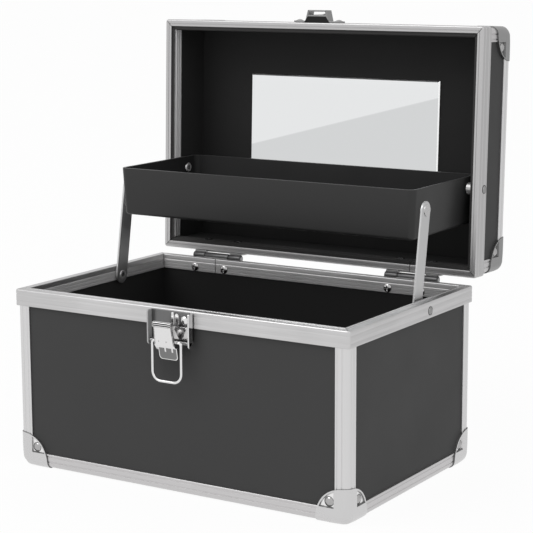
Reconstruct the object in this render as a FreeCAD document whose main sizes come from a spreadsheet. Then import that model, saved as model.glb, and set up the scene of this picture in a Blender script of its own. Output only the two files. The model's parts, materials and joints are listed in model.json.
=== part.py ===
# Makeup train case: laminated boards in aluminium edge extrusions, two bent rim frames
# that meet on a tongue and ledge, pressed corner guards, a lid on two butt hinges, a tray
# that swings up with the lid on a parallelogram linkage, a mirror, a toggle latch and a handle.
#
# Frame: +X to the right along the front, +Y to the back, +Z up. The origin is the centre of
# the footprint on the floor. The lid stands open, as in use. Lengths are in millimetres.
import FreeCAD, Part
import math
import os

import Sketcher

SIZES = {
    # Whole case
    "case_width": 250.0,
    "case_depth": 164.0,
    "base_height": 118.6,
    "lid_height": 45.5,
    "lid_open_angle": 92.0,
    "parting_gap": 0.4,
    "running_gap": 0.06,
    "side_gap": 0.3,
    # Rim frames: one bent extrusion each
    "rim_wall": 1.2,
    "rim_web": 1.6,
    "base_rim_height": 10.7,
    "lid_rim_height": 12.0,
    "rim_inner_height": 9.6,
    "rim_lip": 1.2,
    "rim_bend": 2.0,
    "rim_edge_round": 1.5,
    "rim_step": 0.5,
    "rim_step_depth": 3.4,
    "tongue_width": 1.9,
    "tongue_height": 0.9,
    "ledge_depth": 1.5,
    "mitre_slit": 0.3,
    "base_seam_x": -73.0,
    "lid_seam_x": 76.0,
    # Edge extrusions, boards and lining
    "rim_proud": 1.0,
    "edge_leg": 9.4,
    "edge_wall": 1.2,
    "edge_round": 3.0,
    "edge_lip_round": 0.5,
    "board": 3.5,
    "lining": 0.7,
    # Corner guards and their rivets
    "guard_radius": 23.0,
    "guard_sheet": 0.8,
    "guard_round": 3.0,
    "guard_border": 0.8,
    "rivet_inset": 13.75,
    "rivet_head": 2.6,
    "rivet_rise": 1.0,
    "rivet_shank": 1.5,
    # Hinges
    "hinge_length": 40.0,
    "hinge_from_side": 47.0,
    "hinge_standoff": 3.6,
    "knuckle_radius": 3.2,
    "hinge_pin": 1.3,
    "leaf_sheet": 1.2,
    "leaf_reach": 10.4,
    "hinge_screw_place": 12.4,
    "hinge_screw_depth": 6.4,
    "screw_head": 3.0,
    "screw_rise": 1.4,
    "screw_shank": 1.4,
    # Tray and its linkage
    "tray_side_room": 11.5,
    "tray_depth_room": 72.0,
    "tray_height": 32.4,
    "tray_wall": 1.8,
    "tray_draft": 1.5,
    "tray_corner": 5.0,
    "tray_pivot_reach": 61.8,
    "tray_pivot_rise": 8.2,
    "tray_pivot_below_edge": 7.7,
    "tray_pivot_from_back": 14.4,
    "arm_pivot_from_back": 61.5,
    "arm_pivot_drop": 6.0,
    "arm_width": 11.5,
    "arm_sheet": 1.3,
    "arm_from_tray": 1.3,
    "pivot_shank": 2.0,
    "pivot_head": 3.2,
    "pivot_head_rise": 1.2,
    "pivot_tail_rise": 0.6,
    # Mirror
    "mirror_width": 151.5,
    "mirror_height": 88.0,
    "mirror_glass": 1.5,
    # Latch on the base and its keeper on the lid
    "latch_width": 31.5,
    "latch_sheet": 1.0,
    "latch_wall_depth": 5.0,
    "latch_top_drop": 1.2,
    "latch_height": 22.0,
    "latch_plate_height": 17.5,
    "latch_rivet_place": 9.6,
    "latch_rivet_drop": 6.2,
    "latch_low_rivet_place": -5.0,
    "latch_low_rivet_drop": 14.4,
    "latch_rib_place": 1.5,
    "latch_rib_height": 10.6,
    "latch_rib_depth": 3.0,
    "latch_boss_place": 4.7,
    "latch_boss_width": 2.8,
    "latch_boss_height": 7.6,
    "lever_width": 15.0,
    "lever_pin": 1.1,
    "lever_pin_out": 3.2,
    "lever_pin_rise": 3.2,
    "lever_roll": 1.9,
    "lever_roll_out": 8.9,
    "lever_roll_rise": 12.2,
    "lever_knee_out": 5.4,
    "lever_knee_drop": 1.6,
    "lever_tab_out": 3.6,
    "lever_tab_drop": 10.6,
    "lever_eye_wall": 0.8,
    "bail_pivot_out": 3.6,
    "bail_pivot_rise": 0.9,
    "bail_wire": 0.95,
    "bail_width": 20.6,
    "bail_drop": 24.2,
    "bail_bend": 6.0,
    "keeper_length": 39.0,
    "keeper_depth": 7.4,
    "keeper_base_width": 18.6,
    "keeper_top_width": 14.4,
    "keeper_rise": 8.4,
    "keeper_sheet": 1.1,
    "keeper_rivet_place": 15.4,
    # Carrying handle on the lid
    "handle_length": 112.0,
    "handle_reach": 32.0,
    "handle_leg": 10.0,
    "handle_bar": 13.0,
    "handle_thickness": 9.0,
    "handle_edge_round": 3.0,
    "handle_lift": 5.6,
    "handle_pin": 2.2,
    "handle_pin_length": 6.0,
    "bracket_length": 15.0,
    "bracket_width": 14.0,
    "bracket_sheet": 1.4,
}

SHEET_NAME = "Sizes"
TOUCH = 1e-6


class Size:
    """A length that carries its present value and the sheet expression that gives it."""

    def __init__(self, value, text):
        self.value = float(value)
        self.text = text

    def __add__(self, other):
        other = as_size(other)
        return Size(self.value + other.value, f"({self.text} + {other.text})")

    def __sub__(self, other):
        other = as_size(other)
        return Size(self.value - other.value, f"({self.text} - {other.text})")

    def __mul__(self, other):
        other = as_size(other)
        return Size(self.value * other.value, f"({self.text} * {other.text})")

    def __truediv__(self, other):
        other = as_size(other)
        return Size(self.value / other.value, f"({self.text} / {other.text})")

    def __neg__(self):
        return Size(-self.value, f"(-1 * {self.text})")

    def __radd__(self, other):
        return as_size(other) + self

    def __rsub__(self, other):
        return as_size(other) - self

    def __rmul__(self, other):
        return as_size(other) * self


class Arc:
    """A round stretch of an outline: from the point before it, about a centre, to an end."""

    def __init__(self, centre, end):
        self.centre = tuple(as_size(v) for v in centre)
        self.end = tuple(as_size(v) for v in end)


class Circle:
    """A round outline."""

    def __init__(self, x, y, radius):
        self.x = as_size(x)
        self.y = as_size(y)
        self.radius = as_size(radius)


class Dimensions:
    """The driving dimensions, each one an attribute."""

    def __init__(self, sheet):
        for row, (name, value) in enumerate(SIZES.items(), start=1):
            sheet.set(f"A{row}", name)
            sheet.set(f"B{row}", str(value))
            sheet.setAlias(f"B{row}", name)
            setattr(self, name, Size(value, f"{SHEET_NAME}.{name}"))


def as_size(value):
    return value if isinstance(value, Size) else Size(value, repr(float(value)))


def root(size):
    return Size(math.sqrt(size.value), f"sqrt({size.text})")


def cosine(degrees):
    return Size(math.cos(math.radians(degrees.value)), f"cos({degrees.text})")


def sine(degrees):
    return Size(math.sin(math.radians(degrees.value)), f"sin({degrees.text})")


doc = FreeCAD.newDocument("train_case")
d = Dimensions(doc.addObject("Spreadsheet::Sheet", SHEET_NAME))
doc.recompute()

# Places that several pieces share
half_width = d.case_width / 2
half_depth = d.case_depth / 2
board_in = d.rim_proud + d.edge_wall
board_back = board_in + d.board
rim_face = board_back + d.rim_wall
rim_inside = rim_face + d.rim_step
lining_face = board_back + d.lining
guard_in = d.rim_proud - d.guard_sheet
end_board = d.guard_sheet + d.edge_wall
tongue_in = rim_face - d.tongue_width
ledge_in = tongue_in - d.side_gap
hinge_y = half_depth + d.hinge_standoff
hinge_z = d.base_height + d.parting_gap / 2
hinge_place = half_width - d.hinge_from_side
arm_pivot_z = d.base_height - d.arm_pivot_drop
opening = Size(d.lid_open_angle.value, f"({d.lid_open_angle.text} * 1 deg)")
lid_cos = cosine(opening)
lid_sin = sine(opening)

PLANES = {"X": "YZ_Plane", "Y": "XZ_Plane", "Z": "XY_Plane"}
SIDES = {"right": 1, "left": -1}
nodes = []


def bind(item, path, size):
    item.setExpression(path, as_size(size).text)


def new_body(label):
    body = doc.addObject("PartDesign::Body", label)
    body.Label = label
    nodes.append(body)
    return body


def origin_plane(body, axis):
    return next(f for f in body.Origin.OriginFeatures if f.Role == PLANES[axis])


def new_sketch(body, axis, along, across=(0, 0)):
    """A sketch square to an axis, at a place along it, with its own origin moved across."""
    sketch = body.newObject("Sketcher::SketchObject", f"{body.Label}_sketch")
    sketch.AttachmentSupport = [(origin_plane(body, axis), "")]
    sketch.MapMode = "FlatFace"
    along = as_size(along)
    bind(sketch, "AttachmentOffset.Base.x", across[0])
    bind(sketch, "AttachmentOffset.Base.y", across[1])
    bind(sketch, "AttachmentOffset.Base.z", -along if axis == "Y" else along)
    return sketch


def heading(start, end):
    """Unit direction of a side that is parallel to a sketch axis."""
    dx = end[0].value - start[0].value
    dy = end[1].value - start[1].value
    return (round(dx / abs(dx)), 0) if abs(dx) > abs(dy) else (0, round(dy / abs(dy)))


def same_place(one, other):
    return all(abs(a.value - b.value) < TOUCH for a, b in zip(one, other))


def trace(outline):
    """Turn corners, rounded corners (x, y, radius) and arcs into (point, centre) stops."""
    corners = []
    for item in outline:
        corners.append(item if isinstance(item, Arc) else tuple(as_size(v) for v in item))
    stops = []
    for index, item in enumerate(corners):
        if isinstance(item, Arc):
            stops.append((item.end, item.centre))
        elif len(item) == 2 or item[2].value < TOUCH:
            stops.append((item[:2], None))
        else:
            x, y, radius = item
            before = heading(corners[index - 1], item)
            after = heading(item, corners[(index + 1) % len(corners)])
            entry = (x - before[0] * radius, y - before[1] * radius)
            leave = (x + after[0] * radius, y + after[1] * radius)
            centre = (entry[0] + after[0] * radius, entry[1] + after[1] * radius)
            if not (stops and same_place(stops[-1][0], entry)):
                stops.append((entry, None))
            stops.append((leave, centre))
    if stops[0][1] is None and same_place(stops[0][0], stops[-1][0]):
        stops.pop(0)
    return stops


def pin_point(rules, texts, place, x=None, y=None):
    """Fix a sketch point's distances from the sketch origin."""
    for kind, size, axis_line in (("DistanceX", x, -2), ("DistanceY", y, -1)):
        if size is None:
            continue
        if abs(size.value) < TOUCH:
            rules.append(Sketcher.Constraint("PointOnObject", *place, axis_line))
        else:
            texts[len(rules)] = size.text
            rules.append(Sketcher.Constraint(kind, -1, 1, *place, size.value))


def vector(point):
    return FreeCAD.Vector(point[0].value, point[1].value, 0)


def draw(sketch, outline):
    """Draw one closed outline, with every point bound to the sheet."""
    rules = []
    texts = {}
    first = sketch.GeometryCount
    if isinstance(outline, Circle):
        middle = (outline.x, outline.y)
        shape = Part.Circle(vector(middle), FreeCAD.Vector(0, 0, 1), outline.radius.value)
        sketch.addGeometry([shape])
        texts[0] = outline.radius.text
        rules.append(Sketcher.Constraint("Radius", first, outline.radius.value))
        pin_point(rules, texts, (first, 3), *middle)
    else:
        draw_path(sketch, trace(outline), first, rules, texts)
    start = sketch.ConstraintCount
    sketch.addConstraint(rules)
    for number, text in texts.items():
        sketch.setExpression(f"Constraints[{start + number}]", text)


def draw_path(sketch, stops, first, rules, texts):
    """Draw the lines and arcs between stops, joined end to end."""
    ends = []
    shapes = []
    for index, (end, centre) in enumerate(stops):
        start = stops[index - 1][0]
        if centre is None:
            shapes.append(Part.LineSegment(vector(start), vector(end)))
            ends.append((1, 2))
            continue
        arm_in = vector(start) - vector(centre)
        arm_out = vector(end) - vector(centre)
        forward = arm_in.cross(arm_out).z > 0
        low, high = (arm_in, arm_out) if forward else (arm_out, arm_in)
        circle = Part.Circle(vector(centre), FreeCAD.Vector(0, 0, 1), arm_in.Length)
        angles = [math.atan2(arm.y, arm.x) for arm in (low, high)]
        shapes.append(Part.ArcOfCircle(circle, *angles))
        ends.append((1, 2) if forward else (2, 1))
    sketch.addGeometry(shapes)
    for index, (end, centre) in enumerate(stops):
        following = (index + 1) % len(stops)
        place = (first + index, ends[index][1])
        rules.append(Sketcher.Constraint("Coincident", *place, first + following, ends[following][0]))
        if centre is None:
            pin_point(rules, texts, place, *end)
            continue
        pin_point(rules, texts, (first + index, 3), *centre)
        reach = vector(end) - vector(centre)
        if abs(reach.x) > abs(reach.y):
            pin_point(rules, texts, place, y=end[1])
        else:
            pin_point(rules, texts, place, x=end[0])


def prism(body, axis, span, *outlines, cut=False):
    """Add, or cut away, the prism on these outlines between two places along an axis.

    Outlines are in (X, Y), (X, Z) or (Y, Z), for an axis of Z, Y or X.
    """
    low, high = sorted((as_size(v) for v in span), key=lambda v: v.value)
    sketch = new_sketch(body, axis, low if cut == (axis == "Y") else high)
    for outline in outlines:
        draw(sketch, outline)
    kind = "Pocket" if cut else "Pad"
    feature = body.newObject(f"PartDesign::{kind}", f"{body.Label}_{kind.lower()}")
    feature.Profile = sketch
    bind(feature, "Length", high - low)
    body.Tip = feature
    return feature


def turn(body, axis, centre, profile):
    """Revolve a profile of (along the axis, radius) points about an axis through a centre."""
    x, y, z = centre
    if axis == "X":
        sketch = new_sketch(body, "Y", y, (x, z))
    elif axis == "Y":
        sketch = new_sketch(body, "X", x, (y, z))
    else:
        sketch = new_sketch(body, "Y", y, (x, z))
        profile = [swap_axes(item) for item in profile]
    draw(sketch, profile)
    feature = body.newObject("PartDesign::Revolution", f"{body.Label}_turn")
    feature.Profile = sketch
    feature.ReferenceAxis = (sketch, ["V_Axis" if axis == "Z" else "H_Axis"])
    feature.Angle = 360
    body.Tip = feature
    return feature


def swap_axes(item):
    if isinstance(item, Arc):
        return Arc(item.centre[::-1], item.end[::-1])
    return item[::-1]


def mirror_inside(body, features, *axes):
    """Repeat features of a body on the other side of its own planes."""
    pattern = body.newObject("PartDesign::MultiTransform", f"{body.Label}_pairs")
    pattern.Originals = features
    mirrors = []
    for axis in axes:
        mirror = body.newObject("PartDesign::Mirrored", f"{body.Label}_mirror")
        mirror.MirrorPlane = (origin_plane(body, axis), [""])
        mirrors.append(mirror)
    pattern.Transformations = mirrors
    body.Tip = pattern


def edges_where(body, test):
    """Names of the edges of the body's last feature that pass a test."""
    doc.recompute()
    edges = body.Tip.Shape.Edges
    return [f"Edge{number}" for number, edge in enumerate(edges, start=1) if test(edge)]


def round_edges(body, radius, test):
    names = edges_where(body, test)
    base = body.Tip
    fillet = body.newObject("PartDesign::Fillet", f"{body.Label}_round")
    fillet.Base = (base, names)
    bind(fillet, "Radius", radius)
    body.Tip = fillet


def meets(edge, point):
    """True where an edge ends at a point."""
    place = FreeCAD.Vector(*(v.value for v in point))
    return any(vertex.Point.distanceToPoint(place) < 1e-4 for vertex in edge.Vertexes)


def rectangle(x_span, y_span, radius=0):
    (x0, x1), (y0, y1) = x_span, y_span
    return [(x0, y0, radius), (x1, y0, radius), (x1, y1, radius), (x0, y1, radius)]


def both_sides(size):
    return (-as_size(size), as_size(size))


def dome(along, sign, head, rise):
    """The arc of a rivet head's crown, from its edge at a seat to its top on the axis."""
    sphere = (head * head + rise * rise) / (2 * rise)
    return Arc((along + sign * (rise - sphere), 0), (along + sign * rise, 0))


def rivet_profile(seat, sign, length):
    """A round-headed rivet: its head stands on the seat, its shank goes the other way."""
    tail = seat - sign * length
    return [
        (tail, 0),
        (tail, d.rivet_shank),
        (seat, d.rivet_shank),
        (seat, d.rivet_head),
        dome(seat, sign, d.rivet_head, d.rivet_rise),
    ]


class HalfCase:
    """The base or the lid: a box of boards behind one rim, measured in depth from the rim plane.

    Its own frame has X and Y through the middle of the case, and depth runs up or down Z.
    """

    def __init__(self, name, way, rim_z, height, rim_height):
        self.name = name
        self.way = way
        self.rim_z = as_size(rim_z)
        self.height = height
        self.rim_height = rim_height

    def z(self, depth):
        return self.rim_z + self.way * as_size(depth)

    def span(self, start, end):
        return (self.z(start), self.z(end))

    def place(self, item):
        """Put a piece that is drawn in this half's frame where the half stands."""
        if self.name != "lid":
            return
        from_axis = d.parting_gap / 2
        base_y = hinge_y - hinge_y * lid_cos + from_axis * lid_sin
        base_z = hinge_z + hinge_y * lid_sin + from_axis * lid_cos
        turned = FreeCAD.Rotation(FreeCAD.Vector(-1, 0, 0), d.lid_open_angle.value)
        item.Placement = FreeCAD.Placement(FreeCAD.Vector(0, base_y.value, base_z.value), turned)
        bind(item, "Placement.Base.y", base_y)
        bind(item, "Placement.Base.z", base_z)
        bind(item, "Placement.Rotation.Angle", opening)

    def body(self, label):
        body = new_body(label)
        self.place(body)
        return body

    def mirrored(self, source, label, axis):
        """A node that is another one mirrored left to right (X) or front to back (Y)."""
        copy = doc.addObject("Part::Mirroring", label)
        copy.Label = label
        copy.Source = source
        if axis == "X":
            copy.Normal = FreeCAD.Vector(1, 0, 0)
        elif self.name == "lid":
            copy.Normal = FreeCAD.Vector(0, lid_cos.value, -lid_sin.value)
            bind(copy, "Normal.y", lid_cos)
            bind(copy, "Normal.z", -lid_sin)
            copy.Base = source.Placement.Base
            bind(copy, "Base.y", Size(0, f"{source.Name}.Placement.Base.y"))
            bind(copy, "Base.z", Size(0, f"{source.Name}.Placement.Base.z"))
        else:
            copy.Normal = FreeCAD.Vector(0, 1, 0)
        nodes.append(copy)
        return copy

    def frame(self, inset):
        """The outline of the case, drawn in by an inset, bent at its corners outside the boards."""
        inset = as_size(inset)
        radius = d.rim_bend - inset if inset.value < board_in.value - TOUCH else 0
        return rectangle(both_sides(half_width - inset), both_sides(half_depth - inset), radius)

    def ring(self, body, depths, outer, inner, cut=False):
        prism(body, "Z", self.span(*depths), self.frame(outer), self.frame(inner), cut=cut)

    def rim(self, has_tongue, seam_x, back_holes, side_hole, front_holes):
        """The rim frame: outer flange, face, tongue or ledge, stepped inner flange."""
        body = self.body(f"{self.name}_rim")
        inside_wall = d.rim_wall / 2
        self.ring(body, (0, self.rim_height), 0, d.rim_wall)
        self.ring(body, (self.rim_height - d.rim_lip, self.rim_height), inside_wall, board_in)
        if has_tongue:
            self.ring(body, (0, d.rim_web), inside_wall, rim_face)
            self.ring(body, (-d.tongue_height, d.rim_web / 2), tongue_in, rim_face)
            top = d.tongue_height
            flange_top = d.rim_web / 2
        else:
            ledge_web = d.ledge_depth + d.rim_web
            self.ring(body, (0, d.rim_web), inside_wall, ledge_in)
            self.ring(body, (d.rim_web / 2, ledge_web), ledge_in - d.rim_wall, ledge_in)
            self.ring(body, (d.ledge_depth, ledge_web), ledge_in - d.rim_wall, rim_face)
            top = d.parting_gap
            flange_top = d.ledge_depth + d.rim_web / 2
        self.ring(body, (flange_top, d.rim_step_depth), board_back, rim_face)
        self.ring(body, (d.rim_step_depth, d.rim_inner_height), board_back, rim_inside)
        near_outside = ledge_in.value / 2

        def on_outer_edge(edge):
            box = edge.BoundBox
            middle = edge.valueAt((edge.FirstParameter + edge.LastParameter) / 2)
            level = max(abs(z - self.rim_z.value) for z in (box.ZMin, box.ZMax)) < 1e-4
            inset = min(half_width.value - abs(middle.x), half_depth.value - abs(middle.y))
            return level and inset < near_outside

        round_edges(body, d.rim_edge_round, on_outer_edge)
        through = self.span(-top, self.rim_height)
        prism(body, "Z", through, *self.mitres(), cut=True)
        slit = (seam_x - d.mitre_slit / 2, seam_x + d.mitre_slit / 2)
        prism(body, "Z", through, rectangle(slit, (half_depth - rim_inside, half_depth)), cut=True)
        behind = (half_depth - rim_inside, half_depth)
        prism(body, "Y", behind, *back_holes, cut=True)
        prism(body, "X", both_sides(half_width), side_hole, cut=True)
        prism(body, "Y", (-half_depth, board_in - half_depth), *front_holes, cut=True)

    def mitres(self):
        """Slits at the corners, where the face was notched so that the rim could be bent."""
        near = d.rim_wall
        far = rim_inside
        slant = d.mitre_slit / 2
        for way_x in SIDES.values():
            for way_y in SIDES.values():
                steps = ((near, -slant), (far, -slant), (far, slant), (near, slant))
                yield [
                    (way_x * (half_width - at), way_y * (half_depth - at - shift))
                    for at, shift in steps
                ]

    def walls(self, back_holes, side_hole, front_holes):
        """Front, back, side and end boards, with holes for rivets, screws and pivots."""
        depths = self.span(d.rim_web + d.ledge_depth, self.height - end_board)
        long_span = both_sides(half_width - board_in)
        short_span = both_sides(half_depth - board_back)
        hole = d.rivet_shank + d.running_gap
        rivet_z = self.z(self.height - d.rivet_inset)
        rivet_x = half_width - guard_in - d.rivet_inset
        rivet_y = half_depth - guard_in - d.rivet_inset
        low_pair = [Circle(way * rivet_x, rivet_z, hole) for way in SIDES.values()]
        thick = (board_in - half_depth, board_back - half_depth)
        face = rectangle(long_span, depths)
        front = self.body(f"{self.name}_front_board")
        prism(front, "Y", thick, face, *low_pair, *front_holes)
        back = self.body(f"{self.name}_back_board")
        prism(back, "Y", [-v for v in thick], face, *low_pair, *back_holes)
        right = self.body(f"{self.name}_right_board")
        side_pair = [Circle(way * rivet_y, rivet_z, hole) for way in SIDES.values()]
        side = rectangle(short_span, depths)
        thick = (half_width - board_back, half_width - board_in)
        prism(right, "X", thick, side, *side_pair, side_hole)
        self.mirrored(right, f"{self.name}_left_board", "X")
        end = self.body(f"{self.name}_end_board")
        corners = [
            Circle(way_x * rivet_x, way_y * rivet_y, hole)
            for way_x in SIDES.values()
            for way_y in SIDES.values()
        ]
        plate = rectangle(both_sides(half_width - board_back), short_span)
        ends = self.span(self.height - end_board - d.board, self.height - end_board)
        prism(end, "Z", ends, plate, *corners)

    def liner(self, side_hole):
        """The lining: a thin open box against the boards, up to the rim's inner flange."""
        body = self.body(f"{self.name}_lining")
        floor = self.height - end_board - d.board
        outer = rectangle(both_sides(half_width - board_back), both_sides(half_depth - board_back))
        inner = rectangle(both_sides(half_width - lining_face), both_sides(half_depth - lining_face))
        prism(body, "Z", self.span(d.rim_inner_height, floor), outer)
        prism(body, "Z", self.span(d.rim_inner_height, floor - d.lining), inner, cut=True)
        hole_depth = abs(side_hole.y.value - self.rim_z.value) + side_hole.radius.value
        if hole_depth > d.rim_inner_height.value:
            prism(body, "X", both_sides(half_width - board_back), side_hole, cut=True)

    def edge_section(self, corner, ways):
        """Section of an edge extrusion: two legs from a rounded outer corner."""
        (x, y), (way_x, way_y) = corner, ways
        leg, wall = d.edge_leg, d.edge_wall
        lip = d.edge_lip_round
        return [
            (x, y, d.edge_round),
            (x + way_x * leg, y, lip),
            (x + way_x * leg, y + way_y * wall),
            (x + way_x * wall, y + way_y * wall),
            (x + way_x * wall, y + way_y * leg),
            (x, y + way_y * leg, lip),
        ]

    def posts(self):
        """The four upright extrusions at the corners, from the rim to the end rails."""
        corner = (half_width - d.rim_proud, d.rim_proud - half_depth)
        depths = self.span(self.rim_height, self.height - d.guard_sheet - d.edge_leg)
        if self.name == "lid":
            body = self.body("lid_posts")
            post = prism(body, "Z", depths, self.edge_section(corner, (-1, 1)))
            mirror_inside(body, [post], "X", "Y")
            return
        body = self.body("base_post_front_right")
        prism(body, "Z", depths, self.edge_section(corner, (-1, 1)))
        self.four_corners(body, "base_post")

    def four_corners(self, front_right, label):
        """The other three corners' nodes, mirrored from the front right one."""
        back_right = self.mirrored(front_right, f"{label}_back_right", "Y")
        self.mirrored(front_right, f"{label}_front_left", "X")
        self.mirrored(back_right, f"{label}_back_left", "X")

    def rails(self):
        """The extrusions round the closed end: long ones front and back, short ones between."""
        z = self.z(self.height - d.guard_sheet)
        leg_way = -self.way
        long_span = both_sides(half_width - d.rim_proud - d.guard_round)
        short_span = both_sides(half_depth - d.rim_proud - d.edge_leg)
        front = self.edge_section((d.rim_proud - half_depth, z), (1, leg_way))
        right = self.edge_section((half_width - d.rim_proud, z), (-1, leg_way))
        if self.name == "lid":
            body = self.body("lid_long_rails")
            mirror_inside(body, [prism(body, "X", long_span, front)], "Y")
            body = self.body("lid_short_rails")
            mirror_inside(body, [prism(body, "Y", short_span, right)], "X")
            return
        body = self.body("base_rail_front")
        prism(body, "X", long_span, front)
        self.mirrored(body, "base_rail_back", "Y")
        body = self.body("base_rail_right")
        prism(body, "Y", short_span, right)
        self.mirrored(body, "base_rail_left", "X")

    def guards(self):
        """Pressed corner guards: three round ears, raised over the rails, sunk to the boards."""
        body = self.body(f"{self.name}_guard_front_right")
        corner = (half_width - guard_in, guard_in - half_depth, self.z(self.height))
        ways = (-1, 1, -self.way)

        def cube(inset, cut):
            spans = [(c + w * as_size(inset), c + w * d.guard_radius) for c, w in zip(corner, ways)]
            prism(body, "Z", spans[2], rectangle(*spans[:2]), cut=cut)

        cube(0, False)
        cube(d.guard_sheet, True)
        inner = tuple(c + w * d.guard_sheet for c, w in zip(corner, ways))
        round_edges(body, d.guard_round - d.guard_sheet, lambda edge: meets(edge, inner))
        round_edges(body, d.guard_round, lambda edge: meets(edge, corner))
        for axis, index in (("X", 0), ("Y", 1), ("Z", 2)):
            self.ear(body, axis, index, corner, ways)
        self.four_corners(body, f"{self.name}_guard")

    def ear(self, body, axis, index, corner, ways):
        """Cut one face of a guard to a quarter disc, and sink its middle onto the board."""
        (a, way_a), (b, way_b) = [(corner[k], ways[k]) for k in range(3) if k != index]
        reach = d.guard_radius
        begin, way = corner[index], ways[index]
        board = end_board if axis == "Z" else board_in - guard_in

        def sector(low, radius):
            high = root(radius * radius - low * low)
            return [
                (a + way_a * low, b + way_b * low),
                (a + way_a * high, b + way_b * low),
                Arc((a, b), (a + way_a * low, b + way_b * high)),
            ]

        outside = [
            (a + way_a * reach, b),
            Arc((a, b), (a, b + way_b * reach)),
            (a + way_a * reach, b + way_b * reach),
        ]
        prism(body, axis, (begin, begin + way * d.guard_round), outside, cut=True)
        step = d.edge_leg + d.guard_sheet
        ear_span = (begin, begin + way * board)
        prism(body, axis, ear_span, sector(step, reach))
        sunk = (begin, begin + way * (board - d.guard_sheet))
        prism(body, axis, sunk, sector(step + d.guard_sheet, reach - d.guard_border), cut=True)
        hole = Circle(
            a + way_a * d.rivet_inset, b + way_b * d.rivet_inset, d.rivet_shank + d.running_gap
        )
        prism(body, axis, ear_span, hole, cut=True)

    def rivets(self):
        """Three rivets through each corner guard and its boards."""
        body = self.body(f"{self.name}_guard_rivets")
        length = d.guard_sheet + d.board
        x = half_width - guard_in - d.rivet_inset
        y = guard_in + d.rivet_inset - half_depth
        z = self.z(self.height - d.rivet_inset)
        seat_x = half_width - board_in + d.guard_sheet
        seat_y = board_in - d.guard_sheet - half_depth
        seat_z = self.z(self.height - d.edge_wall)
        made = [
            turn(body, "X", (0, y, z), rivet_profile(seat_x, 1, length)),
            turn(body, "Y", (x, 0, z), rivet_profile(seat_y, -1, length)),
            turn(body, "Z", (x, y, 0), rivet_profile(seat_z, self.way, length)),
        ]
        mirror_inside(body, made, "X", "Y")


def hinge_screw_holes(half, extra):
    """Outlines of the hinge screws' holes, in a half's back wall."""
    z = half.z(d.hinge_screw_depth)
    places = (hinge_place - d.hinge_screw_place, hinge_place + d.hinge_screw_place)
    return [
        Circle(side * x, z, d.screw_shank + extra) for side in SIDES.values() for x in places
    ]


def hinge_leaf(half, side_name, knuckle_shares):
    """A hinge leaf on a half's back wall, with its knuckles and screw holes."""
    body = half.body(f"hinge_{half.name}_leaf_{side_name}")
    middle = SIDES[side_name] * hinge_place
    span = [middle - d.hinge_length / 2, middle + d.hinge_length / 2]
    axis_z = half.z(-d.parting_gap / 2)
    clear = d.knuckle_radius + d.side_gap
    sheet = (half_depth, half_depth + d.leaf_sheet)
    spots = (middle - d.hinge_screw_place, middle + d.hinge_screw_place)
    z = half.z(d.hinge_screw_depth)
    holes = [Circle(x, z, d.screw_shank + d.running_gap) for x in spots]
    plate_z = (axis_z + half.way * clear, half.z(d.leaf_reach))
    prism(body, "Y", sheet, rectangle(span, plate_z), *holes)
    for share in knuckle_shares:
        ends = [
            span[0] + d.hinge_length * share[0] + d.side_gap / 2,
            span[0] + d.hinge_length * share[1] - d.side_gap / 2,
        ]
        tab_z = (axis_z, axis_z + half.way * (clear + d.leaf_sheet))
        prism(body, "Y", sheet, rectangle(ends, tab_z))
        prism(body, "X", ends, Circle(hinge_y, axis_z, d.knuckle_radius))
    bore = Circle(hinge_y, axis_z, d.hinge_pin + d.running_gap)
    prism(body, "X", span, bore, cut=True)


def hinge_screws(half):
    """Pan-head screws whose heads show on the rim's inner flange."""
    body = half.body(f"{half.name}_hinge_screws")
    z = half.z(d.hinge_screw_depth)
    seat = half_depth - rim_inside
    made = []
    for offset in both_sides(d.hinge_screw_place):
        profile = [
            (half_depth + d.leaf_sheet, 0),
            (half_depth + d.leaf_sheet, d.screw_shank),
            (seat, d.screw_shank),
            (seat, d.screw_head),
            dome(seat, -1, d.screw_head, d.screw_rise),
        ]
        made.append(turn(body, "Y", (hinge_place + offset, 0, z), profile))
    mirror_inside(body, made, "X")


def hinge_pins():
    """One pin through each hinge's knuckles."""
    body = new_body("hinge_pins")
    span = (hinge_place - d.hinge_length / 2, hinge_place + d.hinge_length / 2)
    pin = prism(body, "X", span, Circle(hinge_y, hinge_z, d.hinge_pin))
    mirror_inside(body, [pin], "X")


base = HalfCase("base", -1, d.base_height, d.base_height, d.base_rim_height)
lid = HalfCase("lid", 1, 0, d.lid_height, d.lid_rim_height)
BASE_KNUCKLES = [(0.25, 0.75)]
LID_KNUCKLES = [(0.0, 0.25), (0.75, 1.0)]

# Linkage: the tray pivot in the lid and the arm pivot in the base move on equal cranks.
tray_half = d.case_width / 2 - d.tray_side_room
tray_depth = d.case_depth - d.tray_depth_room
arm_pivot_y = half_depth - d.arm_pivot_from_back
tray_pivot_lid = (hinge_y - d.tray_pivot_reach, d.tray_pivot_rise - d.parting_gap / 2)
swing_y = d.tray_pivot_rise * lid_sin - d.tray_pivot_reach * lid_cos
swing_z = d.tray_pivot_reach * lid_sin + d.tray_pivot_rise * lid_cos
tray_pivot = (hinge_y + swing_y, hinge_z + swing_z)
arm_on_tray = (arm_pivot_y - hinge_y, arm_pivot_z - hinge_z)
pivot_hole = d.pivot_shank + d.running_gap
arm_inner_x = tray_half + d.arm_from_tray
arm_outer_x = arm_inner_x + d.arm_sheet
rim_inner_x = half_width - rim_inside


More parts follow.
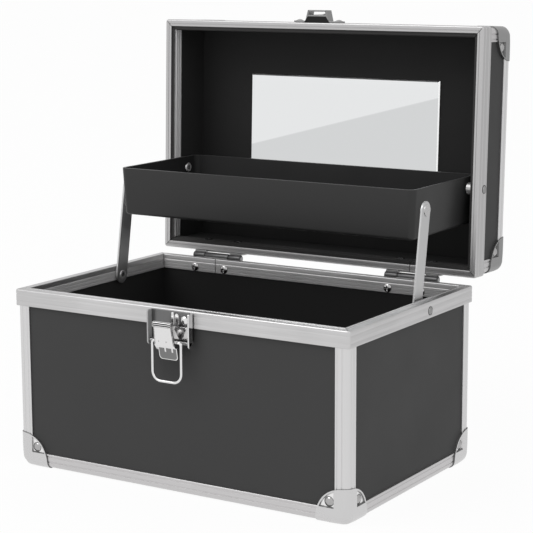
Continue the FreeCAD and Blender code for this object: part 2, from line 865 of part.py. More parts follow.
def case_half(half, has_tongue, seam_x, pivot, knuckles, rim_rivets, board_rivets):
    """Every fixed piece that the base and the lid have in common."""
    screw_holes = hinge_screw_holes(half, d.running_gap)
    side_hole = Circle(*pivot, pivot_hole)
    half.rim(has_tongue, seam_x, screw_holes, side_hole, rim_rivets)
    half.walls(screw_holes, side_hole, board_rivets)
    half.liner(side_hole)
    half.posts()
    half.rails()
    half.guards()
    half.rivets()
    for side_name in SIDES:
        hinge_leaf(half, side_name, knuckles)
    hinge_screws(half)


def pivot_rivets(half, label, centre, stops, shoulder):
    """Pivots through both side walls: head, shank, inner shoulder and riveted tail."""
    body = half.body(label)
    tail, tail_seat = stops
    profile = [
        (tail, 0),
        (tail, d.pivot_head),
        (tail_seat, d.pivot_head),
        (tail_seat, d.pivot_shank),
        (shoulder, d.pivot_shank),
        (shoulder, d.pivot_head),
        (rim_inner_x, d.pivot_head),
        (rim_inner_x, d.pivot_shank),
        (half_width, d.pivot_shank),
        (half_width, d.pivot_head),
        dome(half_width, 1, d.pivot_head, d.pivot_head_rise),
    ]
    mirror_inside(body, [turn(body, "X", (0, *centre), profile)], "X")


def tray():
    """The drafted tray, open above, hung on its two pivots; drawn from the pivot line."""
    body = new_body("tray")
    bind_place(body, tray_pivot)
    top = d.tray_pivot_below_edge
    bottom = top - d.tray_height
    back = d.tray_pivot_from_back
    front = back - tray_depth
    for cut in (False, True):
        wall = d.tray_wall if cut else as_size(0)
        levels = ((bottom + wall, d.tray_draft), (top, as_size(0)))
        sketches = []
        for level, draft in levels:
            inset = draft + wall
            sketch = new_sketch(body, "Z", level)
            x_span = both_sides(tray_half - inset)
            draw(sketch, rectangle(x_span, (front + inset, back - inset), d.tray_corner - wall))
            sketches.append(sketch)
        kind = "Subtractive" if cut else "Additive"
        loft = body.newObject(f"PartDesign::{kind}Loft", f"tray_{kind.lower()}_loft")
        loft.Profile = sketches[0]
        loft.Sections = sketches[1:]
        loft.Ruled = True
        body.Tip = loft
    holes = [Circle(0, 0, pivot_hole), Circle(*arm_on_tray, pivot_hole)]
    prism(body, "X", both_sides(tray_half), *holes, cut=True)


def bind_place(body, point):
    """Stand a body's own origin on a (Y, Z) point."""
    body.Placement.Base = FreeCAD.Vector(0, point[0].value, point[1].value)
    bind(body, "Placement.Base.y", point[0])
    bind(body, "Placement.Base.z", point[1])


def tray_arm_pivots():
    """Rivets in the tray's side walls that carry the arms' upper ends."""
    body = new_body("tray_arm_pivots")
    bind_place(body, tray_pivot)
    inside = tray_half - d.tray_draft - d.tray_wall - d.side_gap
    head_seat = arm_outer_x + d.side_gap
    drop = d.tray_pivot_below_edge - arm_on_tray[1] - d.pivot_head
    collar = (tray_half - d.tray_draft * drop / d.tray_height, arm_inner_x - d.side_gap)
    profile = [
        (inside - d.pivot_tail_rise, 0),
        (inside - d.pivot_tail_rise, d.pivot_head),
        (inside, d.pivot_head),
        (inside, d.pivot_shank),
        (collar[0], d.pivot_shank),
        (collar[0], d.pivot_head),
        (collar[1], d.pivot_head),
        (collar[1], d.pivot_shank),
        (head_seat, d.pivot_shank),
        (head_seat, d.pivot_head),
        (head_seat + d.pivot_tail_rise, d.pivot_head),
        (head_seat + d.pivot_tail_rise, 0),
    ]
    mirror_inside(body, [turn(body, "X", (0, *arm_on_tray), profile)], "X")


def arms():
    """Flat lifting arms with round ends, from the base's pivots to the tray's."""
    reach, rise = d.tray_pivot_reach, d.tray_pivot_rise
    length = root(reach * reach + rise * rise)
    lean = math.degrees(math.atan2(rise.value, reach.value))
    angle = Size(opening.value + lean, f"({opening.text} + atan({(rise / reach).text}))")
    radius = d.arm_width / 2
    for side_name, way in SIDES.items():
        body = new_body(f"{side_name}_arm")
        bind_place(body, (arm_pivot_y, arm_pivot_z))
        turned = FreeCAD.Rotation(FreeCAD.Vector(-1, 0, 0), angle.value)
        body.Placement = FreeCAD.Placement(body.Placement.Base, turned)
        bind(body, "Placement.Rotation.Angle", angle)
        bar = rectangle((-(length + radius), radius), both_sides(radius), radius)
        holes = [Circle(0, 0, pivot_hole), Circle(-length, 0, pivot_hole)]
        prism(body, "X", (way * arm_inner_x, way * arm_outer_x), bar, *holes)


def mirror_glass():
    """The mirror, stuck to the lining of the lid's top."""
    body = lid.body("mirror")
    back = d.lid_height - end_board - d.board - d.lining
    x_span = both_sides(d.mirror_width / 2)
    y_span = both_sides(d.mirror_height / 2)
    prism(body, "Z", lid.span(back - d.mirror_glass, back), rectangle(x_span, y_span))


# Latch: a channel on the front rim, a lever on a pin between its walls, a bail on the lever.
latch_top = d.base_height - d.latch_top_drop
latch_bottom = latch_top - d.latch_height
latch_face = -half_depth
latch_half = d.latch_width / 2
lever_pin_y = latch_face - d.lever_pin_out
lever_pin_z = latch_bottom + d.lever_pin_rise
latch_rivet_spots = (
    (d.latch_rivet_place, d.base_height - d.latch_rivet_drop),
    (d.latch_low_rivet_place, d.base_height - d.latch_low_rivet_drop),
)


def latch_rivet_holes():
    return [Circle(*spot, d.rivet_shank + d.running_gap) for spot in latch_rivet_spots]


def latch():
    """The latch's fixed pieces: a channel with a rib and a boss inside, two rivets and a pin."""
    channel = new_body("latch_channel")
    plate = (latch_face - d.latch_sheet, latch_face)
    rib_z = (latch_top - d.latch_rib_height, latch_top)
    half_rib = d.latch_sheet / 2
    rib_x = (d.latch_rib_place - half_rib, d.latch_rib_place + half_rib)
    prism(channel, "Y", (latch_face - d.latch_rib_depth, latch_face), rectangle(rib_x, rib_z))
    half_boss = d.latch_boss_width / 2
    boss_x = (d.latch_boss_place - half_boss, d.latch_boss_place + half_boss)
    boss_top = latch_top - d.latch_sheet
    boss = rectangle(boss_x, (boss_top - d.latch_boss_height, boss_top), half_boss)
    prism(channel, "Y", (plate[0] - d.latch_sheet, plate[1]), boss)
    plate_z = (latch_top - d.latch_plate_height, latch_top)
    prism(channel, "Y", plate, rectangle(both_sides(latch_half), plate_z), *latch_rivet_holes())
    wall = rectangle((latch_face - d.latch_wall_depth, latch_face), (latch_bottom, latch_top))
    wall[0] = (*wall[0][:2], d.latch_sheet * 2)
    bore = Circle(lever_pin_y, lever_pin_z, d.lever_pin + d.running_gap)
    for way in SIDES.values():
        span = (way * (latch_half - d.latch_sheet), way * latch_half)
        prism(channel, "X", span, wall, bore)
    pin = new_body("latch_pin")
    prism(pin, "X", both_sides(latch_half), Circle(lever_pin_y, lever_pin_z, d.lever_pin))
    rivets = new_body("latch_rivets")
    profile = rivet_profile(latch_face - d.latch_sheet, -1, d.latch_sheet + board_back)
    for x, z in latch_rivet_spots:
        turn(rivets, "Y", (x, 0, z), profile)


def at_lever(out, rise):
    """A (Y, Z) place measured from the lever's pin, outward and up."""
    return (lever_pin_y - out, lever_pin_z + as_size(rise))


def latch_lever():
    """The lever: a sloping face with a rolled top, a finger tab and two cheeks on the pin."""
    body = new_body("latch_lever")
    half = d.lever_width / 2
    sheet = d.latch_sheet
    roll = at_lever(d.lever_roll_out, d.lever_roll_rise)
    knee = at_lever(d.lever_knee_out, -d.lever_knee_drop)
    tab = at_lever(d.lever_tab_out, -d.lever_tab_drop)
    face = [
        roll,
        (roll[0] + sheet, roll[1]),
        (knee[0] + sheet, knee[1]),
        (tab[0] + sheet, tab[1]),
        tab,
        knee,
    ]
    prism(body, "X", both_sides(half), face)
    prism(body, "X", both_sides(half), Circle(roll[0] + sheet / 2, roll[1], d.lever_roll))
    eye = d.lever_pin + d.lever_eye_wall
    cheek = [roll, (roll[0] + sheet, roll[1]), at_lever(0, eye), at_lever(0, -eye), knee]
    bail_hole = Circle(*bail_pivot(), d.bail_wire + d.running_gap)
    pin_hole = Circle(lever_pin_y, lever_pin_z, d.lever_pin + d.running_gap)
    for way in SIDES.values():
        span = (way * (half - sheet), way * half)
        prism(body, "X", span, cheek)
        prism(body, "X", span, Circle(lever_pin_y, lever_pin_z, eye))
    prism(body, "X", both_sides(half), bail_hole, pin_hole, cut=True)


def bail_pivot():
    return at_lever(d.bail_pivot_out, d.bail_pivot_rise)


def latch_bail():
    """The wire loop that hooks over the keeper, hanging from the lever's cheeks."""
    body = new_body("latch_bail")
    y, z = bail_pivot()
    half = d.bail_width / 2
    end = d.lever_width / 2 - d.latch_sheet + d.side_gap
    low = z - d.bail_drop
    path = new_sketch(body, "Y", y)
    shoulder = d.bail_wire * 2
    stops = trace(
        [(-end, z), (-half, z, shoulder), (-half, low, d.bail_bend), (half, low, d.bail_bend),
         (half, z, shoulder), (end, z)]
    )
    draw_open(path, stops)
    section = new_sketch(body, "X", -end)
    draw(section, Circle(y, z, d.bail_wire))
    pipe = body.newObject("PartDesign::AdditivePipe", "latch_bail_pipe")
    pipe.Profile = section
    pipe.Spine = (path, [])
    body.Tip = pipe


def draw_open(sketch, stops):
    """Draw a path through stops that doesn't close."""
    rules = []
    texts = {}
    draw_path(sketch, stops, 0, rules, texts)
    closing = [rule for rule in rules if rule.Type != "Coincident" or 0 not in (rule.First, rule.Second)]
    sketch.addConstraint(closing)
    sketch.delGeometries([0])


keeper_z = lid.z(d.keeper_depth / 2 + d.parting_gap)
keeper_holes = [
    Circle(way * d.keeper_rivet_place, keeper_z, d.rivet_shank + d.running_gap)
    for way in SIDES.values()
]


def keeper():
    """The keeper on the lid's front: a plate with two ears and a raised hook."""
    body = lid.body("keeper")
    span = (d.parting_gap, d.parting_gap + d.keeper_depth)
    half = d.keeper_length / 2
    plate = (-half_depth - d.keeper_sheet, -half_depth)
    ears = rectangle(both_sides(half), span, d.keeper_depth / 2)
    prism(body, "Y", plate, ears, *keeper_holes)
    foot, crown = d.keeper_base_width / 2, d.keeper_top_width / 2
    top = -half_depth - d.keeper_rise
    hook = [(-foot, -half_depth), (foot, -half_depth), (crown, top), (-crown, top)]
    prism(body, "Z", span, hook)
    slot_half = crown - d.keeper_sheet
    window = rectangle(both_sides(slot_half), (top + d.keeper_sheet, top + 3 * d.keeper_sheet))
    prism(body, "Z", span, window, cut=True)
    mouth = rectangle(both_sides(slot_half), (top + 4 * d.keeper_sheet, plate[0]))
    prism(body, "Z", (span[0], span[1] - d.keeper_sheet), mouth, cut=True)
    rivets = lid.body("keeper_rivets")
    profile = rivet_profile(plate[0], -1, d.keeper_sheet + d.rim_wall)
    head = turn(rivets, "Y", (d.keeper_rivet_place, 0, keeper_z), profile)
    mirror_inside(rivets, [head], "X")


def handle():
    """The carrying handle on the lid's top, folded towards the hinges, and its brackets."""
    top = d.lid_height - end_board
    axis_z = lid.z(top + d.handle_lift)
    half = d.handle_length / 2
    grip = lid.body("handle_grip")
    thick = (axis_z - d.handle_thickness / 2, axis_z + d.handle_thickness / 2)
    leg = d.handle_leg
    inner = half - leg
    foot = -leg / 2
    bar_in = d.handle_reach - d.handle_bar
    grip_outline = [
        (-half, foot, leg / 2),
        (-inner, foot, leg / 2),
        (-inner, bar_in, leg),
        (inner, bar_in, leg),
        (inner, foot, leg / 2),
        (half, foot, leg / 2),
        (half, d.handle_reach, d.handle_bar),
        (-half, d.handle_reach, d.handle_bar),
    ]
    prism(grip, "Z", thick, grip_outline)
    levels = [v.value for v in thick]

    def on_a_face(edge):
        box = edge.BoundBox
        return any(abs(box.ZMin - v) < 1e-4 and abs(box.ZMax - v) < 1e-4 for v in levels)

    round_edges(grip, d.handle_edge_round, on_a_face)
    hole = Circle(0, axis_z, d.handle_pin + d.running_gap)
    for way in SIDES.values():
        deep = (way * (half - d.handle_pin_length - d.side_gap), way * half)
        prism(grip, "X", deep, hole, cut=True)
    body = lid.body("handle_brackets")
    ear_in = half + d.side_gap
    ear_out = ear_in + d.bracket_sheet
    plate_z = lid.span(top, top + d.bracket_sheet)
    width = both_sides(d.bracket_width / 2)
    plate = rectangle((ear_in, ear_in + d.bracket_length), width)
    crown = axis_z + d.bracket_width / 2
    ear = rectangle(width, (plate_z[0], crown))
    ear[2] = (*ear[2][:2], d.bracket_width / 2)
    ear[3] = (*ear[3][:2], d.bracket_width / 2)
    spot = (ear_out + ear_in + d.bracket_length) / 2
    made = [
        prism(body, "Z", plate_z, plate, Circle(spot, 0, d.rivet_shank + d.running_gap)),
        prism(body, "X", (ear_in, ear_out), ear),
        prism(body, "X", (half - d.handle_pin_length, ear_in), Circle(0, axis_z, d.handle_pin)),
    ]
    mirror_inside(body, made, "X")
    rivets = lid.body("handle_rivets")
    profile = rivet_profile(plate_z[1], 1, d.bracket_sheet)
    mirror_inside(rivets, [turn(rivets, "Z", (spot, 0, 0), profile)], "X")


arm_pivot = (arm_pivot_y, arm_pivot_z)
latch_holes = latch_rivet_holes()
case_half(base, True, d.base_seam_x, arm_pivot, BASE_KNUCKLES, latch_holes[:1], latch_holes)
case_half(lid, False, d.lid_seam_x, tray_pivot_lid, LID_KNUCKLES, keeper_holes, [])
hinge_pins()
arm_shoulder = arm_outer_x + d.side_gap
arm_tail_seat = arm_inner_x - d.side_gap
arm_tail = arm_tail_seat - d.pivot_tail_rise
pivot_rivets(base, "arm_pivots", arm_pivot, (arm_tail, arm_tail_seat), arm_shoulder)
tray_tail_seat = tray_half - d.tray_draft - d.tray_wall - d.side_gap
tray_tail = tray_tail_seat - d.pivot_tail_rise
tray_shoulder = tray_half + d.side_gap
pivot_rivets(lid, "tray_pivots", tray_pivot_lid, (tray_tail, tray_tail_seat), tray_shoulder)
tray()
tray_arm_pivots()
arms()
mirror_glass()
latch()
latch_lever()
latch_bail()
keeper()
handle()

doc.recompute()
faults = [item.Label for item in doc.Objects if {"Invalid", "Error"} & set(item.State)]
faults += [node.Label for node in nodes if node.Shape.isNull() or not node.Shape.isValid()]
if faults:
    raise RuntimeError("these objects failed: " + ", ".join(faults))

os.makedirs("parts", exist_ok=True)
for node in nodes:
    node.Shape.exportStep(f"parts/{node.Label}.step")
print(len(nodes), "nodes,", sum(len(node.Shape.Solids) for node in nodes), "solids")
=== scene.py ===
"""Looks of the makeup train case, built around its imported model.

Every length is in millimetres until a piece is made. Pieces of the base and of the lid are drawn
in the same coordinates: x along the front, y from front to back, and depth from the rim plane
into the half.
"""

import json
import logging
import math
from dataclasses import dataclass, field
from enum import Enum
from typing import Any, Callable, Iterable, Iterator, Sequence, TypeVar

import bmesh
import bpy
import numpy as np
from mathutils import Matrix, Vector

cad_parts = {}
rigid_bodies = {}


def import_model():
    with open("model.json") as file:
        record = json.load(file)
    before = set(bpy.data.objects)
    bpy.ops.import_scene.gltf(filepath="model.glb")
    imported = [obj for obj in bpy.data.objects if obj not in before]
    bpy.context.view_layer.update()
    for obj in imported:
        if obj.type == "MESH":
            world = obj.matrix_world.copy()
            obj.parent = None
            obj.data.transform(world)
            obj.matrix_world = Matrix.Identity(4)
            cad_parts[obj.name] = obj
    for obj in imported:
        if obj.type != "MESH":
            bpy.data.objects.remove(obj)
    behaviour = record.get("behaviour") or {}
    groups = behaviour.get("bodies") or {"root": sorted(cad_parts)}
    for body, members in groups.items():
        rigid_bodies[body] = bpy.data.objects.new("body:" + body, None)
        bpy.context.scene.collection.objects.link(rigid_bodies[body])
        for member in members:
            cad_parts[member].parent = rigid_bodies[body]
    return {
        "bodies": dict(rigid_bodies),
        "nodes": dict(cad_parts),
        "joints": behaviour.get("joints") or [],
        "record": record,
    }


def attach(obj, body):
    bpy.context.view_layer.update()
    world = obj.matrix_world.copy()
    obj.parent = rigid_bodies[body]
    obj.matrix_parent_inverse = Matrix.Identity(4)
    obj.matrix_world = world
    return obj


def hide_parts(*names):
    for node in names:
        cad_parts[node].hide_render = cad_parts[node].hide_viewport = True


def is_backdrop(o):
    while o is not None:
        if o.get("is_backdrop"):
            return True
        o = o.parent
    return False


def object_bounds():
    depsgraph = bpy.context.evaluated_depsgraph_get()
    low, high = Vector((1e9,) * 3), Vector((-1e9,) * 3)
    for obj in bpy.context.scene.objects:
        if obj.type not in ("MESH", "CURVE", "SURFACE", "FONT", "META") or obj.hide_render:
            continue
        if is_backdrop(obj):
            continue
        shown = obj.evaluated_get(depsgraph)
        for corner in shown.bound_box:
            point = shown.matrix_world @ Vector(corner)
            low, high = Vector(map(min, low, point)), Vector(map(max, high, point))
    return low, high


MM = 0.001
LOG = logging.getLogger("train_case")
HAIR = 0.01  # keeps two edges or two rounds from falling together
HEAD_SUNK = 0.4  # how far a rivet's head goes on under its seat
HEAD_STEPS = 32  # segments round a rivet's head
RING_TAPER = 0.8  # a rivet ring's width at its top, as a share of its width below
T = TypeVar("T")
Run = np.ndarray | float  # one value, or one for each point
Move = Callable[[np.ndarray], np.ndarray]  # from rows of points to their new places


class Which(Enum):
    """The two halves of the case, by the name of the body that each one is."""

    BASE = "base"
    LID = "lid"


class Axis(Enum):
    """An axis of the frame, by its place in a point."""

    X = 0
    Y = 1
    Z = 2


SIDES = {"left": -1, "right": 1}
ENDS = {"front": -1, "back": 1}
CORNERS = {
    f"{end}_{side}": (way_x, way_y)
    for end, way_y in ENDS.items()
    for side, way_x in SIDES.items()
}


@dataclass(frozen=True)
class CaseSizes:
    """Driving sizes of the whole case, as the solids have them."""

    width: float = 250.0
    depth: float = 164.0
    base_height: float = 118.6
    lid_height: float = 45.5
    open_angle: float = 92.0
    hinge_standoff: float = 3.6
    parting_gap: float = 0.4
    rim_proud: float = 1.0
    edge_wall: float = 1.2
    board: float = 3.5
    guard_sheet: float = 0.8

    @property
    def half_width(self) -> float:
        """Half the width of the case."""
        return self.width / 2

    @property
    def half_depth(self) -> float:
        """Half the depth of the case."""
        return self.depth / 2

    @property
    def board_in(self) -> float:
        """Inset of the boards' outer faces from the rim's outer face."""
        return self.rim_proud + self.edge_wall

    @property
    def board_back(self) -> float:
        """Inset of the boards' inner faces from the rim's outer face."""
        return self.board_in + self.board

    @property
    def guard_in(self) -> float:
        """Inset of the corner guards' outer faces from the rim's outer face."""
        return self.rim_proud - self.guard_sheet

    @property
    def hinge(self) -> tuple[float, float]:
        """The hinge axis as (y, z)."""
        return (self.half_depth + self.hinge_standoff, self.base_height + self.parting_gap / 2)


CASE = CaseSizes()


@dataclass
class Shell:
    """Points and faces of a mesh that is still being drawn, and which finish each face has."""

    points: np.ndarray
    faces: list[tuple[int, ...]]
    tints: list[int] = field(default_factory=list)

    def moved(self, move: Move) -> "Shell":
        """Carry every point to a new place.

        Args:
            move: takes the points as an array of rows and gives their new places.

        Returns:
            The moved shell, with the same faces.
        """
        return Shell(move(self.points), self.faces, self.tints)

    def tinted(self, tint: int) -> "Shell":
        """The same shell with every face in another of its piece's finishes."""
        return Shell(self.points, self.faces, [tint] * len(self.faces))


def merged(shells: Iterable[Shell]) -> Shell:
    """Put several shells into one.

    Args:
        shells: the shells to join, in order.

    Returns:
        One shell that holds all their points and faces.
    """
    points, faces, tints, start = [], [], [], 0
    for shell in shells:
        points.append(shell.points)
        tints.extend(shell.tints or [0] * len(shell.faces))
        faces.extend(tuple(index + start for index in face) for face in shell.faces)
        start += len(shell.points)
    return Shell(np.concatenate(points), faces, tints)


def both_sides(shell: Shell) -> Shell:
    """A right-hand shell with its mirror image on the left."""
    return merged([shell, shell.moved(lambda points: points * (-1, 1, 1))])


def sheet_of(grid: np.ndarray, close_columns: bool = False) -> Shell:
    """Join a grid of points into four-sided faces.

    Args:
        grid: points in rows and columns, shape (rows, columns, 3).
        close_columns: True if the last column joins the first.

    Returns:
        The shell of the grid.
    """
    rows, columns = grid.shape[:2]
    row = np.arange(rows - 1)[:, None] * columns
    column = np.arange(columns if close_columns else columns - 1)[None, :]
    row_next, column_next = row + columns, (column + 1) % columns
    corners = [row + column, row + column_next, row_next + column_next, row_next + column]
    quads = np.stack(np.broadcast_arrays(*corners), axis=-1).reshape(-1, 4)
    return Shell(grid.reshape(-1, 3), [tuple(quad) for quad in quads.tolist()])


def swept(loops: np.ndarray) -> Shell:
    """Join closed loops, one after the other, and cap the two end loops.

    Args:
        loops: points of the loops, shape (loops, points, 3).

    Returns:
        The shell of the sweep.
    """
    shell = sheet_of(loops, close_columns=True)
    rows, columns = loops.shape[:2]
    shell.faces.append(tuple(range(columns)))
    shell.faces.append(tuple(range((rows - 1) * columns, rows * columns)))
    return shell


def rounded(corners: Sequence[tuple[float, ...]], steps: int = 5) -> np.ndarray:
    """Trace a closed outline whose corners may be round.

    A round corner is the arc that touches both its sides. Its centre is on the line that halves
    the corner, at radius / sin(half the angle).

    Args:
        corners: each (x, y), or (x, y, radius) where the corner is round.
        steps: the number of segments of each arc.

    Returns:
        The outline's points, shape (n, 2).
    """
    places = np.array([corner[:2] for corner in corners], float)
    parts = []
    for index, corner in enumerate(corners):
        here = places[index]
        radius = corner[2] if len(corner) > 2 else 0.0
        if radius <= 0:
            parts.append(here[None])
            continue
        back = places[index - 1] - here
        ahead = places[(index + 1) % len(corners)] - here
        back, ahead = back / np.linalg.norm(back), ahead / np.linalg.norm(ahead)
        half = math.acos(float(np.clip(back @ ahead, -1, 1))) / 2
        middle = here + (back + ahead) / np.linalg.norm(back + ahead) * radius / math.sin(half)
        start = here + back * radius / math.tan(half) - middle
        end = here + ahead * radius / math.tan(half) - middle
        turn = math.atan2(start[0] * end[1] - start[1] * end[0], start @ end)
        angle = np.linspace(0, turn, steps + 1)
        x = start[0] * np.cos(angle) - start[1] * np.sin(angle)
        y = start[0] * np.sin(angle) + start[1] * np.cos(angle)
        parts.append(middle + np.stack([x, y], axis=1))
    return np.concatenate(parts)


def oblong(
    low: Sequence[float], high: Sequence[float], foot: float = 0.0, top: float = 0.0, steps: int = 5
) -> np.ndarray:
    """Trace a rectangle whose lower and upper corners may be round.

    Args:
        low: its lowest corner.
        high: its highest corner.
        foot: radius of the two lower corners.
        top: radius of the two upper corners.
        steps: the number of segments of each arc.

    Returns:
        The outline's points, shape (n, 2).
    """
    lower = [(low[0], low[1], foot), (high[0], low[1], foot)]
    return rounded([*lower, (high[0], high[1], top), (low[0], high[1], top)], steps)


def groove(place: float, width: float, depth: float, rim: float = 0.0) -> list[tuple[float, float]]:
    """Corners of a fine groove with sloping sides and a flat half as wide as its mouth.

    Args:
        place: its middle.
        width: of its mouth.
        depth: of its flat.
        rim: depth of the surface that it is cut in.

    Returns:
        Four corners, each (along, depth).
    """
    half, flat = width / 2, width / 4
    return [(place - half, rim), (place - flat, depth), (place + flat, depth), (place + half, rim)]


def prism(outline: np.ndarray, low: Run, high: Run, axis: Axis) -> Shell:
    """Carry an outline straight along an axis.

    Args:
        outline: points in the two other axes, in X, Y, Z order.
        low: where the prism starts, one value or one for each point.
        high: where it ends.
        axis: the axis that it runs along.

    Returns:
        The closed shell.
    """
    loops = []
    for end in (low, high):
        along = np.broadcast_to(np.asarray(end, float), len(outline))
        loops.append(np.insert(outline, axis.value, along, axis=1))
    return swept(np.stack(loops))


def lathe(profile: np.ndarray, centre: Sequence[float], axis: Axis, steps: int = 40) -> Shell:
    """Turn a profile about an axis: radius r at angle t goes to (r cos t, r sin t).

    Args:
        profile: rows of (along the axis, radius), from pole to pole.
        centre: a point on the axis, whose own place along it is added to the profile's.
        axis: the axis of the turn.
        steps: the number of segments round the axis.

    Returns:
        The closed shell.
    """
    angle = np.linspace(0, 2 * np.pi, steps, endpoint=False)
    along, radius = profile[:, 0, None], profile[:, 1, None]
    across = np.stack([radius * np.cos(angle), radius * np.sin(angle)], axis=-1)
    along = np.broadcast_to(along, across.shape[:2])
    grid = np.insert(across, axis.value, along, axis=2) + np.asarray(centre, float)
    return sheet_of(grid, close_columns=True)


def crown(seat: float, way: int, radius: float, rise: float, steps: int = 8) -> np.ndarray:
    """Profile of a low dome: an arc of the sphere through its edge and its top.

    Args:
        seat: where the dome stands, along its axis.
        way: 1 or -1, the way that it rises.
        radius: of its edge.
        rise: its height.
        steps: segments of the arc.

    Returns:
        Rows of (along, radius) from the pole under the seat to the top.
    """
    sphere = (radius * radius + rise * rise) / (2 * rise)
    angle = np.linspace(math.asin(radius / sphere), 0, steps + 1)
    height = sphere * np.cos(angle) - sphere + rise
    arc = np.stack([seat + way * height, sphere * np.sin(angle)], 1)
    foot = seat - way * HEAD_SUNK
    skirt = np.array([[foot, 0.0], [foot, radius]])
    return np.concatenate([skirt, arc])


def ringed(
    head: np.ndarray, centre: Sequence[float], axis: Axis, ring: float = 0.4, rise: float = 0.45
) -> Shell:
    """A rivet's head with a low ring round its foot, dark with painted shade.

    Args:
        head: the head's profile, as crown gives it.
        centre: a point on its axis.
        axis: its axis.
        ring: width of the ring.
        rise: height of the ring over the foot.

    Returns:
        The shell, with the ring in the second finish, a painted shade.
    """
    foot = head[1]
    lift = np.array([np.sign(head[-1, 0] - head[0, 0]) * rise, 0.0])
    outer = np.array([foot + (0, ring), foot + lift + (0, ring * RING_TAPER), foot + lift])
    profile = np.concatenate([head[:1], outer, head[len(outer):]])
    shell = lathe(profile, centre, axis, HEAD_STEPS)
    on_ring = np.arange(len(profile) - 1) < len(outer)
    shell.tints = np.repeat(on_ring.astype(int), HEAD_STEPS).tolist()
    return shell


def rod(low: float, high: float, radius: float, edge: float = 0.3) -> np.ndarray:
    """Profile of a round rod with rounded ends.

    Args:
        low: where it starts along its axis.
        high: where it ends.
        radius: of the rod.
        edge: of the round at its ends.

    Returns:
        Rows of (along, radius).
    """
    angle = np.linspace(0, np.pi / 2, 5)
    start = np.stack([low + edge - edge * np.cos(angle), radius - edge + edge * np.sin(angle)], 1)
    end = np.stack([low + high - start[::-1, 0], start[::-1, 1]], 1)
    return np.concatenate([[[low, 0.0]], start, end, [[high, 0.0]]])


def wire(path: np.ndarray, radius: float, flat: Axis, sides: int = 16) -> Shell:
    """A round wire along a flat path: a circle square to the path at each of its points.

    Args:
        path: points of the path, shape (n, 3).
        radius: of the wire.
        flat: the axis that the path's plane is square to.
        sides: segments of the circle.

    Returns:
        The closed shell.
    """
    along = np.gradient(path, axis=0)
    along /= np.linalg.norm(along, axis=1, keepdims=True)
    upright = np.zeros(3)
    upright[flat.value] = 1.0
    across = np.cross(along, upright)
    angle = np.linspace(0, 2 * np.pi, sides, endpoint=False)[None, :, None]
    loops = path[:, None] + radius * (np.cos(angle) * across[:, None] + np.sin(angle) * upright)
    return swept(loops)


class Half:
    """Places the pieces of the base or of the lid."""

    def __init__(self, which: Which) -> None:
        """Settle where the half stands.

        Args:
            which: the base or the lid.
        """
        self.which = which
        self.name = which.value
        self.height = self.pick(CASE.base_height, CASE.lid_height)

    def pick(self, base: T, lid: T) -> T:
        """Which of two values this half has: one for the base, one for the lid."""
        return base if self.which is Which.BASE else lid

    def put(self, points: np.ndarray) -> np.ndarray:
        """Carry points from (x, y, depth) to the frame.

        The base's depth runs down. The lid turns about the hinge axis by its open angle.

        Args:
            points: rows of (x, y, depth).

        Returns:
            Rows of (x, y, z), in millimetres.
        """
        x, y, depth = points.T
        if self.which is Which.BASE:
            return np.stack([x, y, CASE.base_height - depth], axis=1)
        hinge_y, hinge_z = CASE.hinge
        back, up = y - hinge_y, depth + CASE.parting_gap / 2
        turn = math.radians(CASE.open_angle)
        new_y = hinge_y + back * math.cos(turn) + up * math.sin(turn)
        new_z = hinge_z - back * math.sin(turn) + up * math.cos(turn)
        return np.stack([x, new_y, new_z], axis=1)


class Graph:
    """Adds nodes to a node tree."""

    def __init__(self, tree: bpy.types.NodeTree) -> None:
        """Keep the tree."""
        self.tree = tree

    def fill(self, node: bpy.types.Node, inputs: dict[str | int, Any]) -> None:
        """Set or link a node's inputs.

        Args:
            node: the node.
            inputs: for each input's name or place, its value, or the socket that feeds it.
        """
        for key, given in inputs.items():
            if isinstance(given, bpy.types.NodeSocket):
                self.tree.links.new(given, node.inputs[key])
            else:
                node.inputs[key].default_value = given

    def add(self, kind: str, inputs: dict[str | int, Any], **settings: str) -> Any:
        """Add a shader node.

        Args:
            kind: its type, without the words that every type starts with.
            inputs: as for fill.
            settings: its other properties, such as its operation.

        Returns:
            Its outputs.
        """
        node = self.tree.nodes.new(f"ShaderNode{kind}")
        for name, value in settings.items():
            setattr(node, name, value)
        self.fill(node, inputs)
        return node.outputs


